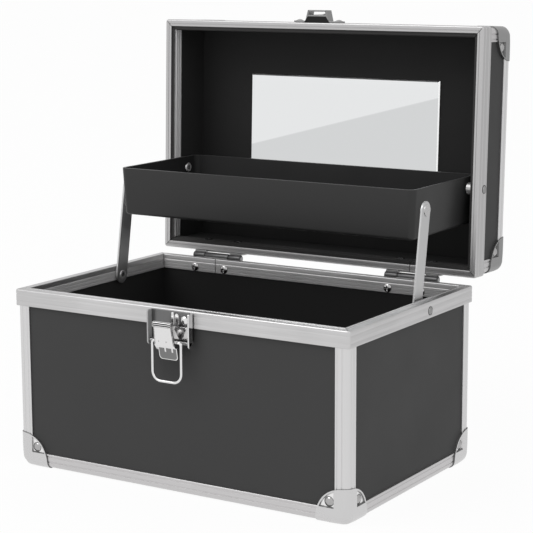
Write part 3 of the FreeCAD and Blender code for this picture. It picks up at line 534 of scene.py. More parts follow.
@dataclass(frozen=True)
class Finish:
    """A surface finish: colour, gloss, and the marks that its noise gives, in metres.

    A scale is a number of marks in a metre, and the bump's height is a length.
    """

    name: str
    colour: tuple[float, float, float]
    metallic: float
    roughness: float
    mottle: float
    grain: tuple[float, float, float]
    bump: float
    roughness_spread: float = 0.05
    specular: float = 0.5
    broad_scale: float = 22.0
    bump_height: float = 0.0002
    least_roughness: float = 0.01

    def material(self) -> bpy.types.Material:
        """Make the finish's material, or find it if it is made already.

        A fine noise on Object coordinates shades the colour and raises the bump, and a broad one
        shades the colour and the roughness. The fine one's scale along each axis is the grain, so
        unequal values give drawn-out streaks.

        Returns:
            The material.
        """
        found = bpy.data.materials.get(self.name)
        if found:
            return found
        material = bpy.data.materials.new(self.name)
        material.use_nodes = True
        graph = Graph(material.node_tree)
        place = graph.add("TexCoord", {})["Object"]
        drawn = graph.add("Mapping", {"Vector": place, "Scale": self.grain})["Vector"]
        fine = graph.add("TexNoise", {"Vector": drawn, "Scale": 1.0, "Detail": 3.0})["Fac"]
        spots = {"Vector": place, "Scale": self.broad_scale, "Detail": 2.0}
        broad = graph.add("TexNoise", spots)["Fac"]
        half = graph.add("Math", {0: broad, 1: 0.5}, operation="MULTIPLY")[0]
        mean = graph.add("Math", {0: fine, 1: 0.5, 2: half}, operation="MULTIPLY_ADD")[0]
        dark = tuple(value * (1 - self.mottle) for value in self.colour)
        light = tuple(min(1.0, value * (1 + self.mottle)) for value in self.colour)
        tones = {"Factor": mean, "A": (*dark, 1), "B": (*light, 1)}
        shade = graph.add("Mix", tones, data_type="RGBA")["Result"]
        least = max(self.least_roughness, self.roughness - self.roughness_spread)
        span = {"To Min": least, "To Max": self.roughness + self.roughness_spread}
        gloss = graph.add("MapRange", {"Value": broad, "From Min": 0.3, "From Max": 0.7, **span})
        relief = {"Height": fine, "Strength": self.bump, "Distance": self.bump_height}
        look = {"Base Color": shade, "Roughness": gloss["Result"]}
        look |= {"Metallic": self.metallic, "Specular IOR Level": self.specular}
        look["Normal"] = graph.add("Bump", relief)["Normal"]
        graph.fill(material.node_tree.nodes["Principled BSDF"], look)
        return material


@dataclass(frozen=True)
class MirrorFinish(Finish):
    """Silvered glass, with a painted darker reflection under a slanting line. Its sizes are in
    metres.
    """

    # Tone of the painted reflection.
    darker: tuple[float, float, float] = (0.66, 0.67, 0.675)
    line_height: float = 0.2159
    line_slope: float = 0.2626
    line_blur: float = 0.0005

    def material(self) -> bpy.types.Material:
        """Make the finish's material, with the painted reflection's line drawn on Object
        coordinates.

        The colour changes where z - slope * x passes the line's height.

        Returns:
            The material.
        """
        found = bpy.data.materials.get(self.name)
        if found:
            return found
        material = super().material()
        graph = Graph(material.node_tree)
        shader = material.node_tree.nodes["Principled BSDF"]
        plain = shader.inputs["Base Color"].links[0].from_socket
        place = graph.add("TexCoord", {})["Object"]
        normal = (-self.line_slope, 0.0, 1.0)
        height = graph.add("VectorMath", {0: place, 1: normal}, operation="DOT_PRODUCT")["Value"]
        low, high = self.line_height - self.line_blur, self.line_height + self.line_blur
        side = graph.add("MapRange", {"Value": height, "From Min": low, "From Max": high})
        tones = {"Factor": side["Result"], "A": (*self.darker, 1), "B": plain}
        graph.fill(shader, {"Base Color": graph.add("Mix", tones, data_type="RGBA")["Result"]})
        return material


PEBBLE = (1500.0, 1500.0, 1500.0)
ALONG_X = (30.0, 2600.0, 2600.0)
ALONG_Y = (2600.0, 30.0, 2600.0)
ALONG_Z = (2600.0, 2600.0, 30.0)
LEVEL = (25.0, 25.0, 1200.0)
LAMINATE = Finish(
    "fine_charcoal_laminate", (0.0495, 0.0495, 0.0497), 0.0, 0.62, 0.06, PEBBLE, 0.12, specular=0.2
)
RIM_METAL = Finish("satin_aluminium_rim", (0.57, 0.565, 0.567), 1.0, 0.33, 0.26, LEVEL, 0.03)
# The lid rim: the base rim's aluminium, darker, as painted shade.
LID_RIM_PAINTED_SHADE = Finish(
    "satin_aluminium_lid_rim", (0.49, 0.485, 0.487), 1.0, 0.33, 0.05, ALONG_X, 0.03
)
# Darker still on the lid's back bars: painted shade.
LID_BACK_RIM_PAINTED_SHADE = Finish(
    "shaded_aluminium_lid_rim", (0.36, 0.355, 0.357), 1.0, 0.33, 0.08, ALONG_X, 0.03
)
EDGE_X = Finish("satin_aluminium_x", (0.58, 0.57, 0.573), 1.0, 0.34, 0.04, ALONG_X, 0.04)
EDGE_Y = Finish("satin_aluminium_y", (0.57, 0.56, 0.563), 1.0, 0.34, 0.04, ALONG_Y, 0.04)
EDGE_Z = Finish("satin_aluminium_z", (0.66, 0.655, 0.657), 1.0, 0.34, 0.04, ALONG_Z, 0.04)
GUARD_NICKEL = Finish("bright_nickel_guard", (0.62, 0.615, 0.617), 1.0, 0.26, 0.04, PEBBLE, 0.03)
# The sunk field: the guard's nickel, lighter, as painted light.
SUNK_FIELD_PAINTED_LIGHT = Finish("polished_nickel_field", (0.82, 0.815, 0.815), 1.0, 0.20, 0.05, PEBBLE, 0.05)
# The base's inner flange: the rim's aluminium, less metallic, as painted shade.
BASE_FLANGE_PAINTED_SHADE = Finish("shaded_aluminium_flange", (0.58, 0.575, 0.577), 0.3, 0.5, 0.34, LEVEL, 0.04)
# Near black on the lid's ledge, and inward of it on the front and back bars: painted shadow.
LID_LEDGE_PAINTED_SHADOW = Finish(
    "dark_lid_ledge", (0.042, 0.041, 0.041), 0.2, 0.6, 0.06, ALONG_X, 0.02, specular=0.2
)
# The lid's inner flange: the rim's aluminium, nearly matt, as painted shade.
LID_FLANGE_PAINTED_SHADE = Finish("shaded_lid_flange", (0.66, 0.655, 0.657), 0.2, 0.5, 0.06, ALONG_X, 0.04)
# The lid's guards: the base guards' nickel, darker, as painted shade.
LID_GUARD_PAINTED_SHADE = Finish("dull_nickel_guard", (0.30, 0.30, 0.30), 1.0, 0.34, 0.10, PEBBLE, 0.06)
# Dark on the guards' edges over the flanges and on the sunk field's side walls: painted shadow.
GUARD_EDGE_PAINTED_SHADOW = Finish("cut_steel_edge", (0.20, 0.20, 0.20), 1.0, 0.45, 0.05, PEBBLE, 0.02)
# Rivet and screw heads: nickel darker than the guards', as painted shade on the domes.
RIVET_NICKEL_PAINTED_SHADE = Finish("bright_nickel_rivet", (0.42, 0.415, 0.415), 1.0, 0.12, 0.03, PEBBLE, 0.02)
PIVOT_NICKEL = Finish("pale_nickel_pivot", (0.52, 0.515, 0.515), 0.6, 0.3, 0.04, PEBBLE, 0.02)
# Near black round rivet feet and in hollow tails: painted shade.
RIVET_RING_PAINTED_SHADE = Finish("dark_rivet_ring", (0.05, 0.05, 0.05), 0.6, 0.5, 0.05, PEBBLE, 0.02)
# The hinges' nickel made near black on the barrels and the lid's screws: painted shade.
HINGE_PAINTED_SHADE = Finish("dark_hinge_barrel", (0.075, 0.075, 0.076), 1.0, 0.18, 0.05, ALONG_X, 0.02)
# The keeper's nickel, dark grey, as painted shade.
KEEPER_PAINTED_SHADE = Finish("dark_nickel_keeper", (0.27, 0.27, 0.27), 1.0, 0.24, 0.06, PEBBLE, 0.02)
# The latch's left wall: its nickel as a grey, half-matt copy, as painted shade.
LATCH_SIDE_PAINTED_SHADE = Finish("shaded_latch_side", (0.43, 0.43, 0.432), 0.3, 0.45, 0.06, ALONG_Z, 0.03)
# Near black in the lever roll's grooves, on the keeper's back wall and on the sheet at the hook's
# foot: painted shadow.
LATCH_PAINTED_SHADOW = Finish(
    "dark_latch_groove", (0.007, 0.007, 0.007), 0.0, 0.5, 0.05, ALONG_X, 0.02, specular=0.2
)
HINGE_NICKEL = Finish("nickel_hinge", (0.30, 0.30, 0.30), 1.0, 0.28, 0.05, ALONG_X, 0.03)
LATCH_NICKEL = Finish("bright_nickel_latch", (0.74, 0.735, 0.735), 1.0, 0.14, 0.03, PEBBLE, 0.02)
# The latch plate: its nickel, darker, as painted shade.
LATCH_PLATE_PAINTED_SHADE = Finish("shaded_nickel_latch", (0.165, 0.165, 0.166), 1.0, 0.30, 0.06, ALONG_Z, 0.03)
# The finger tab's face and the studs: the lever's nickel, darker, as painted shade.
LATCH_TAB_PAINTED_SHADE = Finish("shaded_nickel_tab", (0.20, 0.20, 0.20), 1.0, 0.30, 0.06, ALONG_X, 0.03)
ARM_STEEL = Finish("zinc_steel_arm", (0.56, 0.56, 0.562), 1.0, 0.40, 0.05, ALONG_Z, 0.04)
TRAY_PLASTIC = Finish(
    "black_tray_plastic", (0.0235, 0.0235, 0.02355), 0.0, 0.45, 0.05, PEBBLE, 0.10, specular=0.3
)
# The tray's plastic, lighter on its top edge: painted highlight.
TRAY_EDGE_PAINTED_HIGHLIGHT = Finish("black_tray_edge", (0.058, 0.058, 0.0586), 0.0, 0.4, 0.06, PEBBLE, 0.1)
# The tray's plastic, near black inside: painted shade.
TRAY_INSIDE_PAINTED_SHADE = Finish(
    "black_tray_inside", (0.007, 0.007, 0.0072), 0.0, 0.6, 0.06, PEBBLE, 0.12, specular=0.2
)
LINING = Finish(
    "black_lining_sheet", (0.0235, 0.0233, 0.0234), 0.0, 0.75, 0.10, PEBBLE, 0.20, specular=0.15
)
# Silvered glass, with a painted reflection: darker under a slanting line.
MIRROR = MirrorFinish("silvered_mirror", (0.80, 0.81, 0.815), 1.0, 0.03, 0.004, PEBBLE, 0.0, 0.01)
GROUND_EDGE = Finish("ground_glass_edge", (0.97, 0.97, 0.97), 1.0, 0.22, 0.01, PEBBLE, 0.02)
HANDLE_PLASTIC = Finish(
    "black_handle_plastic", (0.016, 0.016, 0.0165), 0.0, 0.48, 0.06, PEBBLE, 0.25
)


class Workshop:
    """Makes finished pieces from shells, and dresses the solids that stay."""

    WELD = 1e-6
    BEVEL_STEPS = 2
    BEVEL_ANGLE = math.radians(40)

    def __init__(self, frame: dict) -> None:
        """Keep the loaded frame.
        """
        self.frame = frame
        self.slots = {row["node"]: row["material_slot"] for row in frame["record"]["subparts"]}
        self.bodies = {
            node: body
            for body, group in frame["record"]["behaviour"]["bodies"].items()
            for node in group
        }

    def piece(
        self, node: str, shell: Shell, *finishes: Finish, bevel: float = 0.0, sharp: float = 35.0
    ) -> bpy.types.Object:
        """Make the piece that is seen in place of a solid.

        Args:
            node: the solid that it stands for, which also gives its body.
            shell: its points and faces, in the frame, in millimetres.
            finishes: its finishes, in the order that the shell's tints count them.
            bevel: width of the round on its hard edges, if it has one.
            sharp: angle in degrees past which an edge stays hard.

        Returns:
            The piece.
        """
        mesh = bpy.data.meshes.new(f"{node}_piece")
        mesh.from_pydata((shell.points * MM).tolist(), [], shell.faces)
        for finish in finishes:
            mesh.materials.append(finish.material())
        mesh.polygons.foreach_set("material_index", shell.tints or [0] * len(shell.faces))
        work = bmesh.new()
        work.from_mesh(mesh)
        bmesh.ops.remove_doubles(work, verts=work.verts, dist=self.WELD)
        bmesh.ops.recalc_face_normals(work, faces=work.faces)
        work.to_mesh(mesh)
        work.free()
        mesh.polygons.foreach_set("use_smooth", np.ones(len(mesh.polygons), bool))
        mesh.set_sharp_from_angle(angle=math.radians(sharp))
        made = bpy.data.objects.new(f"{node}_piece", mesh)
        bpy.context.scene.collection.objects.link(made)
        if bevel > 0:
            round_off = made.modifiers.new("edge_round", "BEVEL")
            round_off.width = bevel * MM
            round_off.segments = self.BEVEL_STEPS
            round_off.limit_method = "ANGLE"
            round_off.angle_limit = self.BEVEL_ANGLE
            round_off.harden_normals = True
        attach(made, self.bodies[node])
        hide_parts(node)
        LOG.info("piece %s: %d faces on %s", made.name, len(mesh.polygons), self.bodies[node])
        return made

    def dress(self, node: str, finish: Finish) -> None:
        """Give a solid that stays its finish.

        Args:
            node: the solid.
            finish: its finish.
        """
        for place in self.frame["nodes"][node].material_slots:
            place.material = finish.material()
        LOG.info("solid %s: %s", node, finish.name)


@dataclass(frozen=True)
class RimFrame:
    """A half's bent rim: a closed outer flange, and mitred bars for its face and inner flange."""

    wall: float = 1.2
    web: float = 1.6
    base_drop: float = 10.7
    lid_drop: float = 12.0
    lip: float = 1.2
    bend: float = 2.0
    edge_round: float = 1.0
    foot_rounds: tuple[float, float] = (0.35, 0.2)
    inner_drop: float = 9.6
    step: float = 0.5
    step_drop: float = 3.4
    step_slope: float = 0.3
    step_rounds: tuple[float, float] = (0.2, 0.25)
    inner_round: float = 0.3
    tongue: float = 1.9
    tongue_rise: float = 0.3
    tongue_rounds: tuple[float, float, float] = (0.1, 0.2, 0.4)
    ledge: float = 1.5
    ledge_rounds: tuple[float, float, float] = (0.4, 0.15, 0.3)
    side_gap: float = 0.3
    slit: float = 0.45
    groove_width: float = 1.0
    groove_depth: float = 0.35
    base_groove: float = 0.12
    groove_places: tuple[float, float] = (0.30, 0.74)
    face_groove: float = 0.7
    face_place: float = 2.9
    inner_width: float = 0.8
    inner_groove: float = 0.3
    inner_places: tuple[float, float] = (5.4, 7.6)
    base_seam: float = -73.0
    lid_seam: float = 76.0
    margin: float = 0.05

    @property
    def face_in(self) -> float:
        """Inset of the inner flange's upper part."""
        return CASE.board_back + self.wall

    def drop(self, half: Half) -> float:
        """Depth of the outer flange."""
        return half.pick(self.base_drop, self.lid_drop)

    def seam(self, half: Half) -> float:
        """Where the rim's two ends meet, along the back."""
        return half.pick(self.base_seam, self.lid_seam)

    def flange_outline(self, half: Half) -> np.ndarray:
        """Section of the outer flange, with two fine grooves and a lip.

        Args:
            half: the half that the rim is on.

        Returns:
            Rows of (inset, depth).
        """
        drop, (outer, inner) = self.drop(half), self.foot_rounds
        deep = half.pick(self.base_groove, self.groove_depth)
        corners: list[tuple[float, ...]] = [(0, 0, self.edge_round)]
        for share in self.groove_places:
            cut = groove(drop * share, self.groove_width, deep)
            corners += [(inset, depth) for depth, inset in cut]
        corners += [(0, drop, outer), (CASE.board_in, drop, inner)]
        corners += [(CASE.board_in, drop - self.lip), (self.wall, drop - self.lip), (self.wall, 0)]
        return rounded(corners)

    def bar_outline(self, half: Half) -> np.ndarray:
        """Section of the face, of the tongue or the ledge, and of the grooved inner flange.

        Args:
            half: the half that the rim is on.

        Returns:
            Rows of (inset, depth).
        """
        back, face = CASE.board_back, self.face_in
        inside, ridge = face + self.step, face - self.tongue
        start, end = self.step_rounds
        flange: list[tuple[float, ...]] = [(face, self.step_drop - self.step_slope, start)]
        flange += [(inside, self.step_drop, end)]
        for place in self.inner_places:
            cut = groove(place, self.inner_width, self.inner_groove)
            flange += [(inside - dip, depth) for depth, dip in cut]
        flange += [(inside, self.inner_drop, self.inner_round), (back, self.inner_drop)]
        if half.which is Which.BASE:
            rise, under = -self.tongue_rise, self.web
            foot, edge, lip = self.tongue_rounds
            top = [(ridge, HAIR, foot), (ridge, rise, edge), (face, rise, lip)]
        else:
            shelf, under = ridge - self.side_gap, self.ledge + self.web
            cut = groove(self.face_place, self.face_groove, self.groove_depth, HAIR)
            edge, foot, lip = self.ledge_rounds
            top = [*cut, (shelf, HAIR, edge), (shelf, self.ledge, foot), (face, self.ledge, lip)]
        return rounded([(self.wall, HAIR), *top, *flange, (back, under), (self.wall, under)])

    def ring_path(self, half: Half, inset: np.ndarray) -> np.ndarray:
        """Carry insets round the case, from one side of the seam to the other.

        A corner is an arc about the bend's centre, whose radius is the bend less the inset.

        Args:
            half: the half that the rim is on.
            inset: the section's insets.

        Returns:
            Points (x, y), shape (stations, insets, 2).
        """
        wide, deep, gap = CASE.half_width, CASE.half_depth, self.slit / 2
        start, end = (
            np.stack([np.full_like(inset, self.seam(half) + shift), deep - inset], -1)[None]
            for shift in (-gap, gap)
        )
        stations = [start]
        for way_x, way_y, turn in ((-1, 1, 90), (-1, -1, 180), (1, -1, 270), (1, 1, 360)):
            angle = np.radians(np.linspace(turn, turn + 90, 9))[:, None]
            reach = self.bend - inset[None]
            x = way_x * (wide - self.bend) + reach * np.cos(angle)
            y = way_y * (deep - self.bend) + reach * np.sin(angle)
            stations.append(np.stack([x, y], axis=-1))
        return np.concatenate([*stations, end])

    def bar_tints(self, half: Half, inset: np.ndarray, depth: np.ndarray) -> tuple[np.ndarray, ...]:
        """Which finish each face along a bar has.

        The inner flange has finish 1, a painted shade. On the lid, the front and back bars have
        finish 2, a near-black painted shadow, from the ledge inwards, and the rest of the back ones
        has finish 3, a deeper painted shade. The side bars have finish 2 on the ledge alone, and
        finish 1 on the wall under it.

        Args:
            half: the half that the rim is on.
            inset: the section's insets.
            depth: the section's depths.

        Returns:
            The finishes of the front bar, of the back bars and of the side bars.
        """
        inner = (inset > self.face_in + self.step / 3) & (depth > self.step_drop - 2 * self.margin)
        plain = inner.astype(int)
        if half.which is Which.BASE:
            return plain, plain, plain
        # The ledge mask marks where the lid's painted shadow goes.
        shelf = self.face_in - self.tongue - self.side_gap
        ledge = (inset > shelf - HAIR) & (depth > self.ledge - 4 * self.margin)
        sides = np.where(ledge & (depth < self.step_drop), 1, plain)
        sides = np.where(ledge & (inset < self.face_in - self.margin), 2, sides)
        front = np.where(ledge, 2, sides)
        return front, np.where(front == 0, 3, front), sides

    def bars(self, half: Half) -> Iterator[Shell]:
        """The mitred bars, a slit apart at each corner, the back one cut at the seam.

        Args:
            half: the half that the rim is on.

        Yields:
            One shell for each bar, in (x, y, depth).
        """
        inset, depth = self.bar_outline(half).T
        front, back, sides = self.bar_tints(half, inset, depth)
        gap = self.slit / 2
        end_x = CASE.half_width - inset - gap
        end_y = CASE.half_depth - inset - gap
        seam = np.full_like(inset, self.seam(half))
        runs = (
            (Axis.X, -1, -end_x, end_x, front),
            (Axis.X, 1, -end_x, seam - gap, back),
            (Axis.X, 1, seam + gap, end_x, back),
            (Axis.Y, -1, -end_y, end_y, sides),
            (Axis.Y, 1, -end_y, end_y, sides),
        )
        for axis, way, low, high, tints in runs:
            reach = CASE.half_depth if axis is Axis.X else CASE.half_width
            bar = prism(np.stack([way * (reach - inset), depth], axis=1), low, high, axis)
            bar.tints = [*tints.tolist(), 0, 0]
            yield bar

    def build(self, shop: Workshop, half: Half) -> None:
        """Make the rim's piece.

        Args:
            shop: makes the piece.
            half: the half that the rim is on.
        """
        outline = self.flange_outline(half)
        path = self.ring_path(half, outline[:, 0])
        depth = np.broadcast_to(outline[:, 1], path.shape[:2])[..., None]
        flange = swept(np.concatenate([path, depth], axis=-1))
        rim = merged([flange, *self.bars(half)]).moved(half.put)
        # Base: inner flange in painted shade. Lid: face, inner flange and back bars in painted
        # shade, ledge in painted shadow.
        base = (RIM_METAL, BASE_FLANGE_PAINTED_SHADE)
        lid = (LID_RIM_PAINTED_SHADE, LID_FLANGE_PAINTED_SHADE, LID_LEDGE_PAINTED_SHADOW, LID_BACK_RIM_PAINTED_SHADE)
        shop.piece(f"{half.name}_rim", rim, *half.pick(base, lid))


@dataclass(frozen=True)
class EdgeExtrusions:
    """Posts and rails: one L section with a rounded corner and shallow grooves in both legs."""

    leg: float = 9.4
    wall: float = 1.2
    corner: float = 3.7
    lip: float = 0.45
    groove_places: tuple[float, float] = (4.3, 7.7)
    groove_width: float = 0.9
    groove_depth: float = 0.3
    guard_round: float = 9.4

    def section(self) -> np.ndarray:
        """The section, the same along both legs.

        Returns:
            Rows of distances from the two outer faces.
        """
        leg, wall = self.leg, self.wall
        cuts = [groove(place, self.groove_width, self.groove_depth) for place in self.groove_places]
        grooves = [corner for cut in cuts for corner in cut]
        first = [(0, 0, self.corner), *grooves, (leg, 0, self.lip), (leg, wall)]
        second = [(wall, wall), (wall, leg), (0, leg, self.lip)]
        second += [(across, along) for along, across in reversed(grooves)]
        return rounded(first + second)

    def posts(self, shop: Workshop, half: Half, rim_drop: float) -> None:
        """Make the four posts, from the rim to the rails.

        Args:
            shop: makes the pieces.
            half: the half that they are on.
            rim_drop: depth of the rim's outer flange.
        """
        section = self.section() + CASE.rim_proud
        end = half.height - CASE.guard_sheet - self.leg
        posts = {}
        for corner, (way_x, way_y) in CORNERS.items():
            x = way_x * (CASE.half_width - section[:, 0])
            y = way_y * (CASE.half_depth - section[:, 1])
            post = prism(np.stack([x, y], axis=1), rim_drop, end, Axis.Z)
            posts[f"base_post_{corner}"] = post.moved(half.put)
        if half.which is Which.LID:
            posts = {"lid_posts": merged(posts.values())}
        for node, shell in posts.items():
            shop.piece(node, shell, half.pick(EDGE_Z, EDGE_Y))

    def rails(self, shop: Workshop, half: Half) -> None:
        """Make the rails round the closed end: long ones front and back, short ones between.

        Args:
            shop: makes the pieces.
            half: the half that they are on.
        """
        section = self.section()
        depth = half.height - CASE.guard_sheet - section[:, 1]
        inset = CASE.rim_proud + section[:, 0]
        long_end = CASE.half_width - CASE.rim_proud - self.guard_round
        short_end = CASE.half_depth - CASE.rim_proud - self.leg
        pairs = (
            ("long", ENDS, CASE.half_depth, long_end, Axis.X, EDGE_X),
            ("short", SIDES, CASE.half_width, short_end, Axis.Y, half.pick(EDGE_Y, EDGE_Z)),
        )
        for kind, places, reach, end, axis, metal in pairs:
            rails = {}
            for place, way in places.items():
                rail = prism(np.stack([way * (reach - inset), depth], 1), -end, end, axis)
                rails[f"base_rail_{place}"] = rail.moved(half.put)
            if half.which is Which.LID:
                rails = {f"lid_{kind}_rails": merged(rails.values())}
            for node, shell in rails.items():
                shop.piece(node, shell, metal)


@dataclass(frozen=True)
class CornerGuard:
    """A pressed guard: three ears over a rounded corner, each sunk round its rivet."""

    radius: float = 23.0
    bulge: float = 2.4
    corner: float = 5.0
    ball: float = 2.6
    ball_reach: float = 15.0
    border: float = 0.8
    flange: float = 10.2
    wall: float = 0.6
    sunk: float = 1.2
    rivet_in: float = 13.9
    rivet_radius: float = 2.9
    rivet_rise: float = 1.15
    press: tuple[float, float] = (0.12, 0.1)
    bend_points: int = 16
    run_points: int = 7
    arc_points: int = 15
    hard_angle: float = 28.0

    def onto_corner(self, p: np.ndarray, q: np.ndarray, drop: Run) -> np.ndarray:
        """Bend a flat ear over the rounded corner.

        A point of the sharp corner goes towards its nearest point of the inner box, to the
        corner's radius less the drop. The radius grows towards the point where the three faces
        meet, by the ball times the square of what is left of its reach.

        Args:
            p: distance from one edge.
            q: distance from the other edge.
            drop: distance under the guard's outer face.

        Returns:
            Points as distances from the three outer faces, the ear's own face last.
        """
        flat = np.stack(np.broadcast_arrays(p, q, np.zeros_like(p)), axis=-1).astype(float)
        near = np.clip(1 - flat.max(axis=-1) / self.ball_reach, 0, 1)
        radius = self.corner + self.ball * near**2
        core = np.maximum(flat, radius[..., None])
        out = flat - core
        out /= np.linalg.norm(out, axis=-1, keepdims=True)
        reach = radius - np.broadcast_to(drop, flat.shape[:-1])
        return core + out * reach[..., None]

    def round_edge(self, radius: Run, angle: np.ndarray) -> tuple[np.ndarray, np.ndarray]:
        """An ear's outline, |p|^n + |q|^n = radius^n with n the bulge, as (p, q) at an angle."""
        power = 2 / self.bulge
        return (radius * np.cos(angle) ** power, radius * np.sin(angle) ** power)

    def reach_at(self, radius: float, q: Run) -> Run:
        """How far the outline reaches along p at a distance q from the other edge."""
        return (radius**self.bulge - q**self.bulge) ** (1 / self.bulge)

    def start_angle(self, radius: Run, q: float) -> Run:
        """The outline's angle at a distance q from an edge."""
        return np.arcsin((q / radius) ** (self.bulge / 2))

    def field_loop(self, inset: float) -> np.ndarray:
        """Outline of the sunk field: two straight sides along the flanges, and the ear's curve.

        Args:
            inset: how far the outline is drawn in.

        Returns:
            Rows of (p, q).
        """
        low = self.flange + inset
        reach = self.radius - self.border - inset
        first = self.start_angle(reach, low)
        angle = np.linspace(first, np.pi / 2 - first, self.arc_points)
        arc = np.stack(self.round_edge(reach, angle), axis=1)
        run = np.linspace(low, self.reach_at(reach, low), self.run_points)[:-1]
        side = np.stack([run, np.full_like(run, low)], axis=1)
        return np.concatenate([side, arc, side[:0:-1, ::-1]])

    def sunk_field(self) -> Shell:
        """The field that is pressed in round the rivet: sloping sides down to a flat.

        Returns:
            The shell, with the sides along the flanges in the second finish, a painted shadow, and
            the flat in the third, which is painted light on the base and painted shade on the lid.
        """
        over, down = self.press
        insets = (0.0, over, self.wall - over, self.wall)
        drops = np.array([0.0, down, self.sunk - down, self.sunk])
        loops = np.stack([self.field_loop(inset) for inset in insets])
        rows, count = loops.shape[:2]
        drop = np.broadcast_to(drops[:, None], (rows, count))
        sunk = sheet_of(self.onto_corner(loops[..., 0], loops[..., 1], drop), close_columns=True)
        sunk.faces.append(tuple(range((rows - 1) * count, rows * count)))
        # The field's side walls along the flanges take the painted shadow.
        side = np.arange(count) < self.run_points - 1
        sunk.tints = [*np.tile(side.astype(int), rows - 1).tolist(), 2]
        return sunk

    def skirt(self) -> Shell:
        """The ear's cut edge, down to the rail over the flanges and to the board between them.

        Returns:
            The shell, with the edge over the flanges in the second finish, a painted shadow.
        """
        first = self.start_angle(self.radius, self.flange)
        low = np.linspace(0, first, self.run_points)
        middle = np.linspace(first, np.pi / 2 - first, self.arc_points)
        angle = np.concatenate([low, middle, np.pi / 2 - low[::-1]])
        deep = np.full_like(angle, CASE.guard_sheet)
        deep[len(low):-len(low)] += self.sunk
        p, q = self.round_edge(self.radius, np.clip(angle, 0, np.pi / 2))
        drop = deep * np.array([[0.0], [1.0]])
        edge = sheet_of(self.onto_corner(np.tile(p, (2, 1)), np.tile(q, (2, 1)), drop))
        # The edge over the flanges takes the painted shadow.
        ends = [1] * (len(low) - 1)
        edge.tints = [*ends, *[0] * (len(edge.faces) - 2 * len(ends)), *ends]
        return edge

    def ear(self) -> Shell:
        """One ear: two flanges, a border, the sunk field and the cut edge.

        Each is a grid over p and q, the distances from the face's two edges at the corner.

        Returns:
            The shell, as distances from the three faces, the ear's own face last.
        """
        bend = np.linspace(0, self.flange, self.bend_points)
        rows = bend[:, None]
        share = np.linspace(0, 1, self.bend_points)[None, :]
        reach = self.flange + (self.reach_at(self.radius, rows) - self.flange) * share
        inner = np.broadcast_to(bend[:-1], (len(bend), len(bend) - 1))
        across = np.concatenate([inner, reach], axis=1)
        ring = np.linspace(self.radius - self.border, self.radius, 3)[:, None]
        first = self.start_angle(ring, self.flange)
        angle = first + (np.pi / 2 - 2 * first) * np.linspace(0, 1, self.arc_points)[None, :]
        grids = [(across, np.broadcast_to(rows, across.shape))]
        grids += [(np.broadcast_to(rows, reach.shape), reach), self.round_edge(ring, angle)]
        parts = [sheet_of(self.onto_corner(p, q, 0.0)) for p, q in grids]
        return merged([*parts, self.sunk_field(), self.skirt()])

    def faces(self, shell: Shell) -> list[Shell]:
        """The same shell on each of the corner's three faces."""
        orders = ([2, 0, 1], [0, 2, 1], [0, 1, 2])
        return [Shell(shell.points[:, order], shell.faces, shell.tints) for order in orders]

    def place(self, half: Half, way_x: int, way_y: int) -> Move:
        """Where a corner's points go.

        Args:
            half: the half that the corner is on.
            way_x: -1 for the left, 1 for the right.
            way_y: -1 for the front, 1 for the back.

        Returns:
            A function from distances from the three faces to the frame.
        """

        def move(points: np.ndarray) -> np.ndarray:
            """Carry points of the corner to the frame.

            Args:
                points: rows of distances from the three faces.

            Returns:
                Rows of (x, y, z).
            """
            x = way_x * (CASE.half_width - CASE.guard_in - points[:, 0])
            y = way_y * (CASE.half_depth - CASE.guard_in - points[:, 1])
            return half.put(np.stack([x, y, half.height - points[:, 2]], axis=1))

        return move

    def build(self, shop: Workshop, half: Half) -> None:
        """Make a half's four guards and its rivets.

        Args:
            shop: makes the pieces.
            half: the half that they are on.
        """
        guard = merged(self.faces(self.ear()))
        head = crown(self.sunk, -1, self.rivet_radius, self.rivet_rise)
        rivet = merged(self.faces(ringed(head, (self.rivet_in, self.rivet_in, 0), Axis.Z)))
        # Base: field flat in painted light. Lid: guards in painted shade. Both: edges in painted
        # shadow.
        bright = (GUARD_NICKEL, GUARD_EDGE_PAINTED_SHADOW, SUNK_FIELD_PAINTED_LIGHT)
        metals = half.pick(bright, (LID_GUARD_PAINTED_SHADE, GUARD_EDGE_PAINTED_SHADOW, LID_GUARD_PAINTED_SHADE))
        rivets = []
        for corner, (way_x, way_y) in CORNERS.items():
            move = self.place(half, way_x, way_y)
            node = f"{half.name}_guard_{corner}"
            shop.piece(node, guard.moved(move), *metals, sharp=self.hard_angle)
            rivets.append(rivet.moved(move))
        shop.piece(f"{half.name}_guard_rivets", merged(rivets), RIVET_NICKEL_PAINTED_SHADE, RIVET_RING_PAINTED_SHADE)


